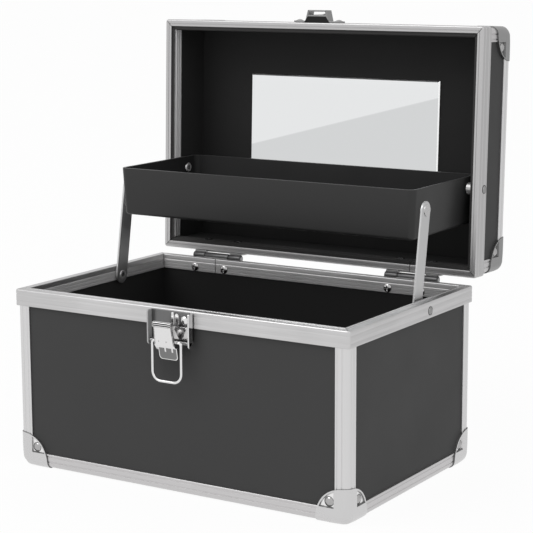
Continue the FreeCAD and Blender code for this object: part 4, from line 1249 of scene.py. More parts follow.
@dataclass(frozen=True)
class Hinges:
    """Two butt hinges at the back, with crosshead screws through the rims."""

    length: float = 40.0
    place: float = 78.0
    knuckle: float = 3.2
    barrel: float = 2.6
    lid_screw_rise: float = 0.35
    sheet: float = 1.2
    reach: float = 10.4
    gap: float = 0.3
    screw_place: float = 12.4
    screw_depth: float = 6.4
    screw_head: float = 3.0
    screw_rise: float = 1.4
    screw_centre: float = 0.18
    cross_width: float = 0.7
    cross_reach: float = 1.9
    cross_sink: float = 0.64
    rim_inside: float = 7.4
    leaf_round: float = 2.5
    barrel_round: float = 0.5
    overlap: float = 1.0
    edge_round: float = 0.2
    base_knuckles: tuple[tuple[float, float], ...] = ((0.25, 0.75),)
    lid_knuckles: tuple[tuple[float, float], ...] = ((0.0, 0.25), (0.75, 1.0))

    def leaf(self, middle: float, shares: Sequence[tuple[float, float]]) -> Shell:
        """A leaf with its knuckles, in (x, y, depth).

        Args:
            middle: the hinge's middle along the back.
            shares: where its knuckles start and end, as shares of the length.

        Returns:
            The shell of the leaf.
        """
        start = middle - self.length / 2
        back = CASE.half_depth
        axis_y, axis_depth = CASE.hinge[0], -CASE.parting_gap / 2
        clear = axis_depth + self.knuckle + self.gap
        plate = oblong((start, clear), (start + self.length, self.reach), top=self.leaf_round)
        parts = [prism(plate, back, back + self.sheet, Axis.Y)]
        for low, high in shares:
            first = start + self.length * low + self.gap / 2
            last = start + self.length * high - self.gap / 2
            tab = oblong((first, 0), (last, clear + self.overlap))
            parts.append(prism(tab, back, back + self.sheet, Axis.Y))
            barrel = rod(first, last, self.barrel, self.barrel_round)
            # The barrels take the second finish, a painted shade.
            parts.append(lathe(barrel, (0, axis_y, axis_depth), Axis.X).tinted(1))
        return merged(parts)

    def screw(self, x: float, rise: float) -> Shell:
        """A screw's head on the rim's inner flange, in (x, y, depth).

        The head is a low dome over a disc of polar points. Where a point is in the cross, it is
        pressed in, least at the cross's ends.

        Args:
            x: where the screw is along the back.
            rise: height of the head.

        Returns:
            The shell of the head.
        """
        rings = np.linspace(self.screw_centre, self.screw_head, 22)
        radius = np.concatenate([[0.0], rings])[:, None]
        angle = np.linspace(0, 2 * np.pi, 64, endpoint=False)[None, :]
        across, up = radius * np.cos(angle), radius * np.sin(angle)
        dome = rise * np.sqrt(np.clip(1 - (radius / self.screw_head) ** 2, 0, 1))
        arm = np.minimum(abs(across), abs(up)) < self.cross_width / 2
        inside = np.clip(1 - radius / self.cross_reach, 0, 1) ** 0.5
        height = np.where(arm, dome - self.cross_sink * rise * inside, dome)
        seat = CASE.half_depth - self.rim_inside
        places = np.broadcast_arrays(x + across, seat - height, self.screw_depth + up)
        return sheet_of(np.stack(places, axis=-1), close_columns=True)

    def build(self, shop: Workshop, half: Half) -> None:
        """Make a half's leaves and screws.

        Args:
            shop: makes the pieces.
            half: the half that they are on.
        """
        shares = half.pick(self.base_knuckles, self.lid_knuckles)
        rise = half.pick(self.screw_rise, self.lid_screw_rise)
        heads = []
        for side, way in SIDES.items():
            leaf = self.leaf(way * self.place, shares).moved(half.put)
            node = f"hinge_{half.name}_leaf_{side}"
            shop.piece(node, leaf, HINGE_NICKEL, HINGE_PAINTED_SHADE, bevel=self.edge_round)
            for offset in (-self.screw_place, self.screw_place):
                heads.append(self.screw(way * self.place + offset, rise).moved(half.put))
        # The lid's screw heads take the barrels' painted shade.
        metal = half.pick(RIVET_NICKEL_PAINTED_SHADE, HINGE_PAINTED_SHADE)
        shop.piece(f"{half.name}_hinge_screws", merged(heads), metal)


@dataclass(frozen=True)
class LiftTray:
    """The tray, its arms and the rivets of the linkage."""

    length: float = 227.0
    depth: float = 92.0
    height: float = 32.4
    wall: float = 1.8
    draft: float = 1.5
    corner: float = 5.0
    foot_round: float = 2.2
    pivot_reach: float = 61.8
    pivot_rise: float = 8.2
    below_edge: float = 7.7
    from_back: float = 14.4
    arm_y: float = 20.5
    arm_drop: float = 6.0
    arm_width: float = 11.5
    arm_sheet: float = 1.3
    arm_gap: float = 1.3
    head: float = 3.2
    head_rise: float = 1.2
    tail_rise: float = 0.6
    collar_more: float = 0.8
    shank: float = 2.0
    side_gap: float = 0.3
    rim_inside: float = 7.4
    corner_share: float = 0.6
    least_corner: float = 1.5
    edge_round: float = 0.5
    edge_in: float = 0.15
    edge_share: float = 0.3
    arm_round: float = 0.25
    hollow_share: float = 0.7
    hollow_depth: float = 0.5
    hollow_edge: float = 0.2
    tail_edge: float = 0.3
    outer_share: float = 0.8
    ring: float = 0.35
    ring_rise: float = 0.3
    ring_slope: float = 0.1

    @property
    def arm_pivot(self) -> tuple[float, float]:
        """The arms' pivots in the base, as (y, z)."""
        return (self.arm_y, CASE.base_height - self.arm_drop)

    @property
    def swing(self) -> tuple[float, float]:
        """From the hinge axis to the tray's pivots in the lid, turned by the open angle.

        Returns:
            The way as (y, z).
        """
        turn = math.radians(CASE.open_angle)
        across = self.pivot_rise * math.sin(turn) - self.pivot_reach * math.cos(turn)
        up = self.pivot_reach * math.sin(turn) + self.pivot_rise * math.cos(turn)
        return (across, up)

    @property
    def tray_pivot(self) -> tuple[float, float]:
        """The tray's pivots in the lid, as (y, z)."""
        return (CASE.hinge[0] + self.swing[0], CASE.hinge[1] + self.swing[1])

    @property
    def arm_x(self) -> tuple[float, float]:
        """The inner and outer faces of the right arm."""
        inner = self.length / 2 + self.arm_gap
        return (inner, inner + self.arm_sheet)

    def loop(self, inset: float) -> np.ndarray:
        """The tray's outline seen from above.

        Args:
            inset: how far it is drawn in.

        Returns:
            Rows of (x, y).
        """
        wide = self.length / 2 - inset
        back = self.tray_pivot[0] + self.from_back
        radius = max(self.corner - inset * self.corner_share, self.least_corner)
        return oblong((-wide, back - self.depth + inset), (wide, back - inset), radius, radius, 8)

    def tray(self) -> Shell:
        """The tray: outlines at rising levels outside, over the edge, and down inside.

        At the foot, the level and the inset follow a quarter of a circle. The walls lean in
        evenly from the edge down.

        Returns:
            The shell, with the inside in the second finish, a painted shade, and the edge in the
            third, a painted highlight.
        """
        top = self.tray_pivot[1] + self.below_edge
        bottom, edge = top - self.height, self.edge_round
        foot = np.linspace(0, np.pi / 2, 6)
        rise, inward = (self.foot_round * (1 - bend) for bend in (np.cos(foot), np.sin(foot)))
        shoulder = top - edge * self.edge_share
        rim_z = np.array([top - edge, shoulder, top, top, shoulder, top - edge])
        half_rim = [0.0, self.edge_in, edge]
        rim_in = np.array([*half_rim, *[self.wall - inset for inset in reversed(half_rim)]])
        rim_in += self.draft / self.height * (top - rim_z)
        levels = np.concatenate([bottom + rise, rim_z, bottom + self.wall + rise[::-1]])
        inside = self.draft + self.wall + inward[::-1]
        insets = np.concatenate([self.draft + inward, rim_in, inside])
        loops = [np.insert(self.loop(inset), 2, z, axis=1) for z, inset in zip(levels, insets)]
        shell = swept(np.stack(loops))
        # Painted highlight on the edge's bands, painted shade on the inside.
        band = np.arange(len(levels) - 1) - len(foot)
        tint = np.where(band < 1, 0, np.where(band < len(rim_z) - 2, 2, 1))
        shell.tints = [*np.repeat(tint, len(loops[0])).tolist(), 0, 1]
        return shell

    def arm(self, way: int) -> Shell:
        """A flat arm with round ends, from its pivot in the base to its pivot on the tray.

        Args:
            way: -1 for the left arm, 1 for the right.

        Returns:
            The shell of the arm.
        """
        length = math.hypot(*self.swing)
        along = np.array(self.swing) / length
        across = np.array([-along[1], along[0]])
        radius = self.arm_width / 2
        end = radius - HAIR
        bar = oblong((-radius, -radius), (length + radius, radius), end, end, 12)
        outline = np.array(self.arm_pivot) + bar[:, :1] * along + bar[:, 1:] * across
        return prism(outline, way * self.arm_x[0], way * self.arm_x[1], Axis.X)

    def pivot(self, stops: Sequence[float], place: tuple[float, float], outer: bool) -> Shell:
        """A pivot rivet with a hollow tail, through a wall on the right and another on the left.

        Args:
            stops: the tail's two faces and the collar's two faces, along x.
            place: the pivot, as (y, z).
            outer: True if it has a round head on the case's outside.

        Returns:
            The shell of both rivets: the head in the first finish, the shank in the second, and
            the hollow and the ring round the head in the third, a painted shade.
        """
        tail, tail_seat, collar, collar_end = stops
        wide, shank, edge = self.head + self.collar_more, self.shank, self.tail_edge
        hollow, floor = shank * self.hollow_share, tail + self.hollow_depth
        rows = [(floor, 0.0), (floor, hollow), (tail, hollow + self.hollow_edge)]
        rows += [(tail, self.head - edge), (tail + edge, self.head), (tail_seat, self.head)]
        rows += [(tail_seat, shank), (collar, shank), (collar, wide), (collar_end, wide)]
        foot, dome = [(collar_end, 0.0)], np.empty((0, 2))
        if outer:
            wall, head = CASE.half_width, self.head * self.outer_share
            ring, step = head + self.ring, wall + self.ring_rise
            foot = [(collar_end, shank), (wall, shank), (wall, ring)]
            foot += [(step, ring - self.ring_slope), (step, head)]
            dome = crown(wall, 1, head, self.head_rise)[2:]
        profile = np.concatenate([rows, foot, dome])
        right = lathe(profile, (0, *place), Axis.X, HEAD_STEPS)
        band = np.arange(len(profile) - 1)
        # Painted shade in the hollow and on the ring round the head.
        dark = (band < 2) | ((band > len(rows) + 1) & (band < len(rows) + len(foot)))
        right.tints = np.repeat(np.where(dark, 2, band < len(rows)), HEAD_STEPS).tolist()
        return both_sides(right)

    def build(self, shop: Workshop) -> None:
        """Make the tray, the arms and the linkage's rivets.

        Args:
            shop: makes the pieces.
        """
        pieces = [shop.piece("tray", self.tray(), TRAY_PLASTIC, TRAY_INSIDE_PAINTED_SHADE, TRAY_EDGE_PAINTED_HIGHLIGHT)]
        for side, way in SIDES.items():
            pieces.append(shop.piece(f"{side}_arm", self.arm(way), ARM_STEEL, bevel=self.arm_round))
        inner, outer = self.arm_x
        gap, tail, rim = self.side_gap, self.tail_rise, CASE.half_width - self.rim_inside
        inside = self.length / 2 - self.draft - self.wall - gap
        on_arm, on_tray = (inner - gap - tail, inner - gap), (inside - tail, inside)
        arm_end = (self.arm_pivot[0] + self.swing[0], self.arm_pivot[1] + self.swing[1])
        rivets = (
            ("arm_pivots", (*on_arm, outer + gap, rim), self.arm_pivot, True),
            ("tray_pivots", (*on_tray, self.length / 2 + gap, rim), self.tray_pivot, True),
            ("tray_arm_pivots", (*on_tray, outer + gap, outer + gap + tail), arm_end, False),
        )
        for name, stops, place, on_case in rivets:
            head = HINGE_NICKEL if on_case else RIVET_NICKEL_PAINTED_SHADE
            shell = self.pivot(stops, place, on_case)
            pieces.append(shop.piece(name, shell, head, PIVOT_NICKEL, RIVET_RING_PAINTED_SHADE))
        for piece in pieces:
            piece.visible_glossy = False  # so that the mirror shows the plain background


@dataclass(frozen=True)
class ToggleLatch:
    """The latch on the base's front: channel, lever and wire bail."""

    width: float = 31.5
    sheet: float = 1.0
    wall_depth: float = 5.0
    top_drop: float = 1.2
    height: float = 22.0
    plate_height: float = 17.5
    pin_out: float = 3.2
    pin_rise: float = 3.2
    lever_width: float = 15.0
    taper: float = 0.24
    roll: float = 1.9
    roll_out: float = 8.9
    roll_rise: float = 12.2
    knee_out: float = 5.4
    knee_rise: float = -1.6
    tab_out: float = 3.6
    tab_drop: float = 10.6
    tab_shift: float = 1.5
    bail_out: float = 3.6
    bail_rise: float = 0.9
    bail_wire: float = 0.95
    bail_width: float = 20.6
    bail_drop: float = 25.4
    bail_more: float = 0.9
    bail_bend: float = 6.0
    rivet: tuple[float, float] = (9.6, 6.2)
    low_rivet: tuple[float, float] = (-5.0, 14.4)
    rivet_radius: float = 2.6
    rivet_rise: float = 1.0
    rib_place: float = 2.3
    rib_width: float = 1.7
    rib_height: float = 10.6
    rib_depth: float = 3.0
    rib_in: float = 0.3
    boss_place: float = 4.7
    boss_width: float = 2.8
    boss_height: float = 7.6
    # Sizes of the bright sheet of painted light on the plate.
    painted_light_sheet_rise: float = 1.3
    painted_light_sheet_gap: float = 0.5
    plate_round: float = 0.5
    wall_rounds: tuple[float, float] = (2.4, 0.8)
    knee_rounds: tuple[float, float] = (1.5, 2.4)
    knee_drop: float = 0.2
    tab_joint: float = 5.0
    tab_length: float = 8.0
    tab_in: float = 0.6
    tab_round: float = 2.2
    tab_border: tuple[float, float] = (1.2, 0.1)
    tab_lift: float = 0.45
    mark_places: tuple[float, float] = (-1.6, 3.6)
    mark_span: tuple[float, float] = (5.2, 8.6)
    mark_half: float = 0.6
    mark_depths: tuple[float, float] = (-0.3, 0.2)
    mark_round: float = 0.3
    stud_places: tuple[float, float] = (-4.0, 1.8)
    stud_up: float = 3.0
    stud: tuple[float, float, float] = (0.3, 0.7, 0.35)
    eye: float = 1.9
    eye_in: float = 0.4
    cheek_round: float = 0.6
    roll_more: float = 0.2
    roll_places: tuple[float, ...] = (1.95, 2.65, 3.3)
    roll_spread: float = 0.24
    roll_groove: float = 0.3
    roll_dark: float = 0.2
    bail_in: float = 0.3
    edge_round: float = 0.2
    lever_edge: float = 0.15

    @property
    def face(self) -> float:
        """The y of the rim's front face, which the latch is riveted to."""
        return -CASE.half_depth

    @property
    def top(self) -> float:
        """The z of the channel's top."""
        return CASE.base_height - self.top_drop

    @property
    def pin(self) -> tuple[float, float]:
        """The lever's pin, as (y, z)."""
        return (self.face - self.pin_out, self.top - self.height + self.pin_rise)

    def at(self, out: float, rise: float) -> tuple[float, float]:
        """A place measured outwards and up from the lever's pin, as (y, z)."""
        return (self.pin[0] - out, self.pin[1] + rise)

    @property
    def roll_at(self) -> tuple[float, float]:
        """The lever's rolled top, as (y, z)."""
        return self.at(self.roll_out, self.roll_rise)

    @property
    def knee(self) -> tuple[float, float]:
        """The lever's bend between its face and its tab, as (y, z)."""
        return self.at(self.knee_out, self.knee_rise)

    @property
    def tab(self) -> tuple[float, float]:
        """The foot of the lever's tab, as (y, z)."""
        return self.at(self.tab_out, -self.tab_drop)

    def channel(self) -> Shell:
        """Plate, two side walls with rounded feet, and the rib, the boss and a bright sheet of
        painted light inside.

        Returns:
            The shell, with the plate in the first finish and the left wall in the third, both a
            painted shade.
        """
        half, sheet, top, face = self.width / 2, self.sheet, self.top, self.face
        bottom, front, foot = top - self.plate_height, face - self.wall_depth, top - self.height
        plate = oblong((-half, bottom), (half, top), top=self.plate_round)
        # The plate takes the first finish, a painted shade.
        parts = [prism(plate, face - sheet, face, Axis.Y)]
        low, high = self.wall_rounds
        wall = rounded([(front, foot, low), (face, foot), (face, top), (front, top, high)])
        for way in SIDES.values():
            side = prism(wall, way * (half - sheet), way * half, Axis.X)
            # The left wall takes the third finish, a painted shade.
            parts.append(side.tinted(1 if way > 0 else 2))
        rib_low, rib_high = (self.rib_place + way * self.rib_width / 2 for way in SIDES.values())
        low, high = (self.boss_place + way * self.boss_width / 2 for way in SIDES.values())
        boss_top = top - sheet
        boss_foot, bend = boss_top - self.boss_height, self.boss_width / 2 - HAIR
        rib = oblong((rib_low, top - self.rib_height), (rib_high, top - self.rib_in))
        boss = oblong((low, boss_foot), (high, boss_top), bend, bend)
        # A bright nickel sheet over the plate's lower right: painted light.
        pad_low = (self.boss_place - self.boss_width, bottom + self.painted_light_sheet_gap)
        pad = oblong(pad_low, (half - self.painted_light_sheet_rise, boss_foot - self.painted_light_sheet_gap))
        raised = ((rib, self.rib_depth), (boss, 2 * sheet), (pad, self.painted_light_sheet_rise))
        parts += [prism(shape, face - rise, face, Axis.Y).tinted(1) for shape, rise in raised]
        return merged(parts)

    def rivets(self) -> Shell:
        """The channel's two rivet heads.

        Returns:
            The shell of both.
        """
        head = crown(self.face - self.sheet, -1, self.rivet_radius, self.rivet_rise)
        spots = [(x, CASE.base_height - drop) for x, drop in (self.rivet, self.low_rivet)]
        return merged([lathe(head, (x, 0, z), Axis.Y, HEAD_STEPS) for x, z in spots])

    def finger_tab(self) -> Iterator[Shell]:
        """The tab with round corners and two raised marks.

        Each is drawn flat, as (x, along the tab), and leans from the tab's foot to the knee.

        Yields:
            The tab's shell, with its face in the second finish, a painted shade, and then each
            mark's.
        """
        lean = np.array([0.0, self.knee[0] - self.tab[0], self.knee[1] - self.tab[1]])
        lean /= np.linalg.norm(lean)
        out = np.array([0.0, lean[2], -lean[1]])
        foot = np.array([self.tab_shift, self.tab[0] + self.tab_shift / 2, self.tab[1]])

        def leant(layers: Sequence[tuple[np.ndarray, float]]) -> Shell:
            """Join flat outlines, leant as the tab is.

            Args:
                layers: the outlines, each with its depth behind the tab's face.

            Returns:
                The closed shell.
            """
            return swept(np.stack([
                foot + flat[:, :1] * (1, 0, 0) + flat[:, 1:] * lean + out * depth
                for flat, depth in layers
            ]))

        half, (border, share) = self.lever_width / 2 - self.tab_in, self.tab_border
        flat = oblong((-half, 0), (half, self.tab_length), foot=self.tab_round)
        narrow = (1 - border / self.lever_width, 1 - share)
        inner = flat * narrow + (0, self.tab_lift)
        sheet = leant([(flat, self.sheet), (flat, 0.0), (inner, 0.0)])
        # The tab's face takes the painted shade.
        sheet.tints = [0] * (len(sheet.faces) - 1) + [1]
        yield sheet
        low, high = self.mark_span
        for x in self.mark_places:
            corners = (x - self.mark_half, low), (x + self.mark_half, high)
            mark = oblong(*corners, top=self.mark_round)
            yield leant([(mark, depth) for depth in self.mark_depths])

    def studs(self) -> Iterator[Shell]:
        """Two small studs on the lever's face, over the knee.

        Yields:
            The shell of each, in the second finish, a painted shade.
        """
        slope = np.array([self.roll_at[0] - self.knee[0], self.roll_at[1] - self.knee[1]])
        slope /= np.linalg.norm(slope)
        spot = np.array(self.knee) + slope * self.stud_up
        sunk, radius, rise = self.stud
        head = crown(spot[0] + sunk, -1, radius, rise)
        for x in self.stud_places:
            yield lathe(head, (x, 0, spot[1]), Axis.Y, 16).tinted(1)

    def lever(self) -> Shell:
        """The lever: a sloping face with a rolled top, the finger tab, studs and two cheeks.

        Its left side narrows towards the roll, in proportion to the height over the knee.

        Returns:
            The shell, with the roll's grooves in the third finish, a painted shadow.
        """
        half, sheet = self.lever_width / 2, self.sheet
        roll, knee, tab = self.roll_at, self.knee, self.tab
        joint, (inner, outer) = tab[1] + self.tab_joint, self.knee_rounds
        face = [roll, (roll[0] + sheet, roll[1])]
        face += [(knee[0] + sheet, knee[1] - self.knee_drop, inner)]
        face += [(tab[0] + 2 * sheet, joint), (tab[0] + sheet, joint), (*knee, outer)]
        parts = [prism(rounded(face), -half, half, Axis.X)]
        parts += [self.rolled_top(roll, half + self.roll_more), *self.finger_tab(), *self.studs()]
        cheek = [(*roll, self.cheek_round), (roll[0] + 2 * sheet, roll[1]), self.at(0, self.eye)]
        cheek += [self.at(-self.eye_in, 0), self.at(0, -self.eye), (*knee, self.cheek_round)]
        for way in SIDES.values():
            parts.append(prism(rounded(cheek), way * (half - sheet), way * half, Axis.X))

        def tapered(points: np.ndarray) -> np.ndarray:
            """Narrow the left side towards the roll.

            Args:
                points: rows of (x, y, z).

            Returns:
                The same rows, with x drawn in on the left.
            """
            rise = np.clip((points[:, 2] - knee[1]) / (roll[1] - knee[1]), 0, 1)
            narrow = np.where(points[:, 0] < 0, 1 - self.taper * rise, 1.0)
            return np.stack([points[:, 0] * narrow, points[:, 1], points[:, 2]], axis=1)

        return merged(parts).moved(tapered)

    def rolled_top(self, centre: Sequence[float], end: float) -> Shell:
        """The lever's rolled top: a round bar whose outline has three grooves along it.

        Args:
            centre: the roll's place on the sheet's outer face, as (y, z).
            end: half its length.

        Returns:
            The shell, with the grooves in the third finish, a painted shadow.
        """
        angle = np.linspace(0, 2 * np.pi, 48, endpoint=False)
        dip = np.zeros_like(angle)
        for place in self.roll_places:
            near = np.clip(1 - abs(angle - place) / self.roll_spread, 0, 1)
            dip = np.maximum(dip, near)
        radius = self.roll - self.roll_groove * dip
        y = centre[0] + self.sheet / 2 + radius * np.cos(angle)
        z = centre[1] + radius * np.sin(angle)
        shell = prism(np.stack([y, z], axis=1), -end, end, Axis.X)
        # Faces deep in a groove take the painted shadow.
        shell.tints = [*np.where(dip > self.roll_dark, 2, 0).tolist(), 0, 0]
        return shell

    def bail(self) -> Shell:
        """The wire loop: down one side, round two bends, up the other, with its ends turned in.

        Returns:
            The shell of the loop.
        """
        y, z = self.at(self.bail_out, self.bail_rise)
        half = self.bail_width / 2
        end = self.lever_width / 2 - self.sheet + self.bail_in
        low, bend, shoulder = z - self.bail_drop, self.bail_bend, self.bail_wire * 2
        right = half + self.bail_more
        corners = [(-end, z), (-half, z, shoulder), (-half, low, bend), (right, low, bend)]
        corners += [(right, z, shoulder), (end, z)]
        return wire(np.insert(rounded(corners, 10), 1, y, axis=1), self.bail_wire, Axis.Y)

    def build(self, shop: Workshop) -> None:
        """Make the latch's pieces.

        Args:
            shop: makes the pieces.
        """
        channel = (LATCH_PLATE_PAINTED_SHADE, LATCH_NICKEL, LATCH_SIDE_PAINTED_SHADE)
        shop.piece("latch_channel", self.channel(), *channel, bevel=self.edge_round)
        shop.piece("latch_rivets", self.rivets(), LATCH_NICKEL)
        lever = (LATCH_NICKEL, LATCH_TAB_PAINTED_SHADE, LATCH_PAINTED_SHADOW)
        shop.piece("latch_lever", self.lever(), *lever, bevel=self.lever_edge)
        shop.piece("latch_bail", self.bail(), LATCH_NICKEL)
        shop.dress("latch_pin", HINGE_NICKEL)


@dataclass(frozen=True)
class Keeper:
    """The keeper on the lid's front: a plate with two ears, and a hook with a window."""

    length: float = 39.0
    span: tuple[float, float] = (0.4, 7.8)
    base_width: float = 18.6
    top_width: float = 14.4
    rise: float = 8.4
    sheet: float = 1.1
    rivet_place: float = 15.4
    rivet_radius: float = 2.6
    rivet_rise: float = 1.0
    hook_round: float = 0.5
    side_more: float = 0.6
    window: float = 3.0
    wall_in: float = 1.0
    # Sizes of the black sheet of painted shadow at the hook's foot.
    shadow_sheet_drop: float = 3.9
    shadow_sheet_out: float = 0.8
    shadow_sheet_span: tuple[float, float] = (-0.1, 0.5)
    edge_round: float = 0.2

    def hook(self) -> Shell:
        """The raised hook: sloping sides, a top bar, a crossbar, a back wall and a black sheet of
        painted shadow at its foot.

        Returns:
            The shell in (x, y, depth), with the back wall and the black sheet in the second finish,
            a painted shadow.
        """
        face, sheet, (low, high) = -CASE.half_depth, self.sheet, self.span
        foot, head, top = self.base_width / 2, self.top_width / 2, face - self.rise
        crossbar, hem = top + self.window * sheet, top + self.shadow_sheet_drop * sheet
        parts = []
        for way in SIDES.values():
            side = [(way * foot, face), (way * head, top, self.hook_round)]
            side += [(way * (head - sheet), top), (way * (foot - sheet - self.side_more), face)]
            parts.append(prism(rounded(side), low, high, Axis.Z))
        for start in (top, crossbar):
            bar = oblong((-head, start), (head, start + sheet))
            parts.append(prism(bar, low, high, Axis.Z))
        wall_foot, shadow_sheet_foot = foot - self.wall_in, foot + self.shadow_sheet_out
        # The back wall takes the second finish: black, a painted shadow.
        wall = [(-head, crossbar), (head, crossbar), (wall_foot, face), (-wall_foot, face)]
        parts.append(prism(rounded(wall), high - sheet, high, Axis.Z).tinted(1))
        # A black sheet on the plate at the hook's foot: painted shadow.
        apron = [(-head, hem), (head, hem), (shadow_sheet_foot, face), (-shadow_sheet_foot, face)]
        ends = [low + more for more in self.shadow_sheet_span]
        parts.append(prism(rounded(apron), *ends, Axis.Z).tinted(1))
        return merged(parts)

    def build(self, shop: Workshop, half: Half) -> None:
        """Make the keeper and its rivets.

        Args:
            shop: makes the pieces.
            half: the lid.
        """
        face, (low, high) = -CASE.half_depth, self.span
        end, radius = self.length / 2, (high - low) / 2 - HAIR
        ears = oblong((-end, low), (end, high), radius, radius, 10)
        plate = prism(ears, face - self.sheet, face, Axis.Y)
        keeper = merged([plate, self.hook()]).moved(half.put)
        shop.piece("keeper", keeper, KEEPER_PAINTED_SHADE, LATCH_PAINTED_SHADOW, bevel=self.edge_round)
        head = crown(face - self.sheet, -1, self.rivet_radius, self.rivet_rise)
        places = [(way * self.rivet_place, 0, (low + high) / 2) for way in SIDES.values()]
        heads = merged([ringed(head, place, Axis.Y) for place in places])
        shop.piece("keeper_rivets", heads.moved(half.put), RIVET_NICKEL_PAINTED_SHADE, RIVET_RING_PAINTED_SHADE)


@dataclass(frozen=True)
class CarryHandle:
    """The moulded grip on the lid's top, with its two brackets."""

    length: float = 112.0
    reach: float = 32.0
    leg: float = 10.0
    bar: float = 13.0
    thickness: float = 9.0
    lift: float = 5.6
    pin: float = 2.2
    pin_length: float = 6.0
    gap: float = 0.3
    bracket_length: float = 15.0
    bracket_width: float = 14.0
    bracket_sheet: float = 1.4
    bracket_round: float = 3.0
    bend: float = 11.0
    oval: float = 3.0
    first_turn: float = 0.06
    least_end: float = 0.01
    fullness: float = 1.2
    swell_start: float = 20.0
    swell_run: float = 22.0
    pin_out: float = 0.8
    rivet_radius: float = 2.6
    rivet_rise: float = 1.0
    edge_round: float = 0.2
    hard_angle: float = 60.0

    @property
    def board(self) -> float:
        """Depth of the lid's top board's outer face."""
        return CASE.lid_height - CASE.guard_sheet - CASE.edge_wall

    def grip(self) -> Shell:
        """The grip: a flat oval section along a path with two bends, wider along the bar.

        The section is a superellipse, |a|^3 + |b|^3 = 1. Both ends close in a half circle, and the
        width swells from the legs to the bar by 3 t^2 - 2 t^3.

        Returns:
            The shell in (x, y, depth).
        """
        leg_x, end = (self.length - self.leg) / 2, self.leg / 2
        bar_y = self.reach - self.bar / 2
        corners = [(-leg_x, -end), (-leg_x, bar_y, self.bend)]
        corners += [(leg_x, bar_y, self.bend), (leg_x, -end)]
        outline = rounded(corners, 14)
        runs = np.linalg.norm(np.diff(outline, axis=0), axis=1)
        cuts = np.concatenate([[0.0], np.cumsum(runs)])
        total = cuts[-1]
        tip = end * (1 - np.cos(np.linspace(self.first_turn, np.pi / 2, 9)))
        middle = np.linspace(end, total - end, 90)[1:-1]
        along = np.concatenate([tip, middle, (total - tip)[::-1]])
        path = np.stack([np.interp(along, cuts, outline[:, k]) for k in range(2)], axis=1)
        forward = np.gradient(path, axis=0)
        forward /= np.linalg.norm(forward, axis=1, keepdims=True)
        side = np.stack([-forward[:, 1], forward[:, 0]], axis=1)
        near_end = np.minimum(along, total - along)
        left = 1 - np.clip(near_end / end, 0, 1)
        closing = np.sqrt(np.clip(1 - left**2, self.least_end, 1))
        swell = np.clip((near_end - self.swell_start) / self.swell_run, 0, 1)
        swell = swell * swell * (3 - 2 * swell)
        width = (self.leg + (self.bar - self.leg) * swell) / 2 * closing
        angle = np.linspace(0, 2 * np.pi, 28, endpoint=False)
        across, up = (
            np.sign(turn) * abs(turn) ** (2 / self.oval) for turn in (np.cos(angle), np.sin(angle))
        )
        flat = path[:, None] + side[:, None] * (width[:, None, None] * across[None, :, None])
        thick = self.thickness / 2 * np.minimum(1.0, closing[:, None] * self.fullness) * up
        depth = self.board + self.lift + thick
        return swept(np.concatenate([flat, depth[..., None]], axis=-1))

    def brackets(self) -> Shell:
        """Both brackets: a riveted plate, an upright ear with a round top, and a pin.

        Returns:
            The shell in (x, y, depth).
        """
        inner = self.length / 2 + self.gap
        outer, end = inner + self.bracket_sheet, inner + self.bracket_length
        half, axis, bend = self.bracket_width / 2, self.board + self.lift, self.bracket_round
        plate = rounded([(inner, -half), (end, -half, bend), (end, half, bend), (inner, half)])
        ear = oblong((-half, self.board), (half, axis + half), top=half - HAIR, steps=10)
        pin = rod(self.length / 2 - self.pin_length, outer + self.pin_out, self.pin)
        right = [
            prism(plate, self.board, self.board + self.bracket_sheet, Axis.Z),
            prism(ear, inner, outer, Axis.X),
            lathe(pin, (0, 0, axis), Axis.X),
        ]
        return both_sides(merged(right))

    def build(self, shop: Workshop, half: Half) -> None:
        """Make the grip, the brackets and their rivets.

        Args:
            shop: makes the pieces.
            half: the lid.
        """
        grip, brackets = self.grip().moved(half.put), self.brackets().moved(half.put)
        shop.piece("handle_grip", grip, HANDLE_PLASTIC, sharp=self.hard_angle)
        shop.piece("handle_brackets", brackets, HINGE_NICKEL, bevel=self.edge_round)
        inner = self.length / 2 + self.gap
        spot = (inner + self.bracket_sheet + inner + self.bracket_length) / 2
        head = crown(self.board + self.bracket_sheet, 1, self.rivet_radius, self.rivet_rise)
        heads = [lathe(head, (way * spot, 0, 0), Axis.Z, HEAD_STEPS) for way in SIDES.values()]
        shop.piece("handle_rivets", merged(heads).moved(half.put), RIVET_NICKEL_PAINTED_SHADE)


@dataclass(frozen=True)
class MirrorGlass:
    """The mirror on the lid's lining, with a narrow ground edge."""

    width: float = 151.5
    height: float = 88.0
    glass: float = 1.5
    ground: float = 0.9
    edge: float = 0.5
    corner: float = 0.5
    lining: float = 0.7
    hard_angle: float = 5.0

    def build(self, shop: Workshop, half: Half) -> None:
        """Make the mirror.

        Args:
            shop: makes the piece.
            half: the lid.
        """
        back = CASE.lid_height - CASE.guard_sheet - CASE.edge_wall - CASE.board - self.lining
        front, bend = back - self.glass, self.corner
        loops = []
        for inset, depth in ((0, back), (0, front + self.edge), (self.ground, front)):
            wide, high = self.width / 2 - inset, self.height / 2 - inset
            outline = oblong((-wide, -high), (wide, high), bend, bend, 3)
            loops.append(np.insert(outline, 2, depth, axis=1))
        glass = swept(np.stack(loops)).moved(half.put)
        glass.tints = [1] * (len(glass.faces) - 1) + [0]
        shop.piece("mirror", glass, MIRROR, GROUND_EDGE, sharp=self.hard_angle)


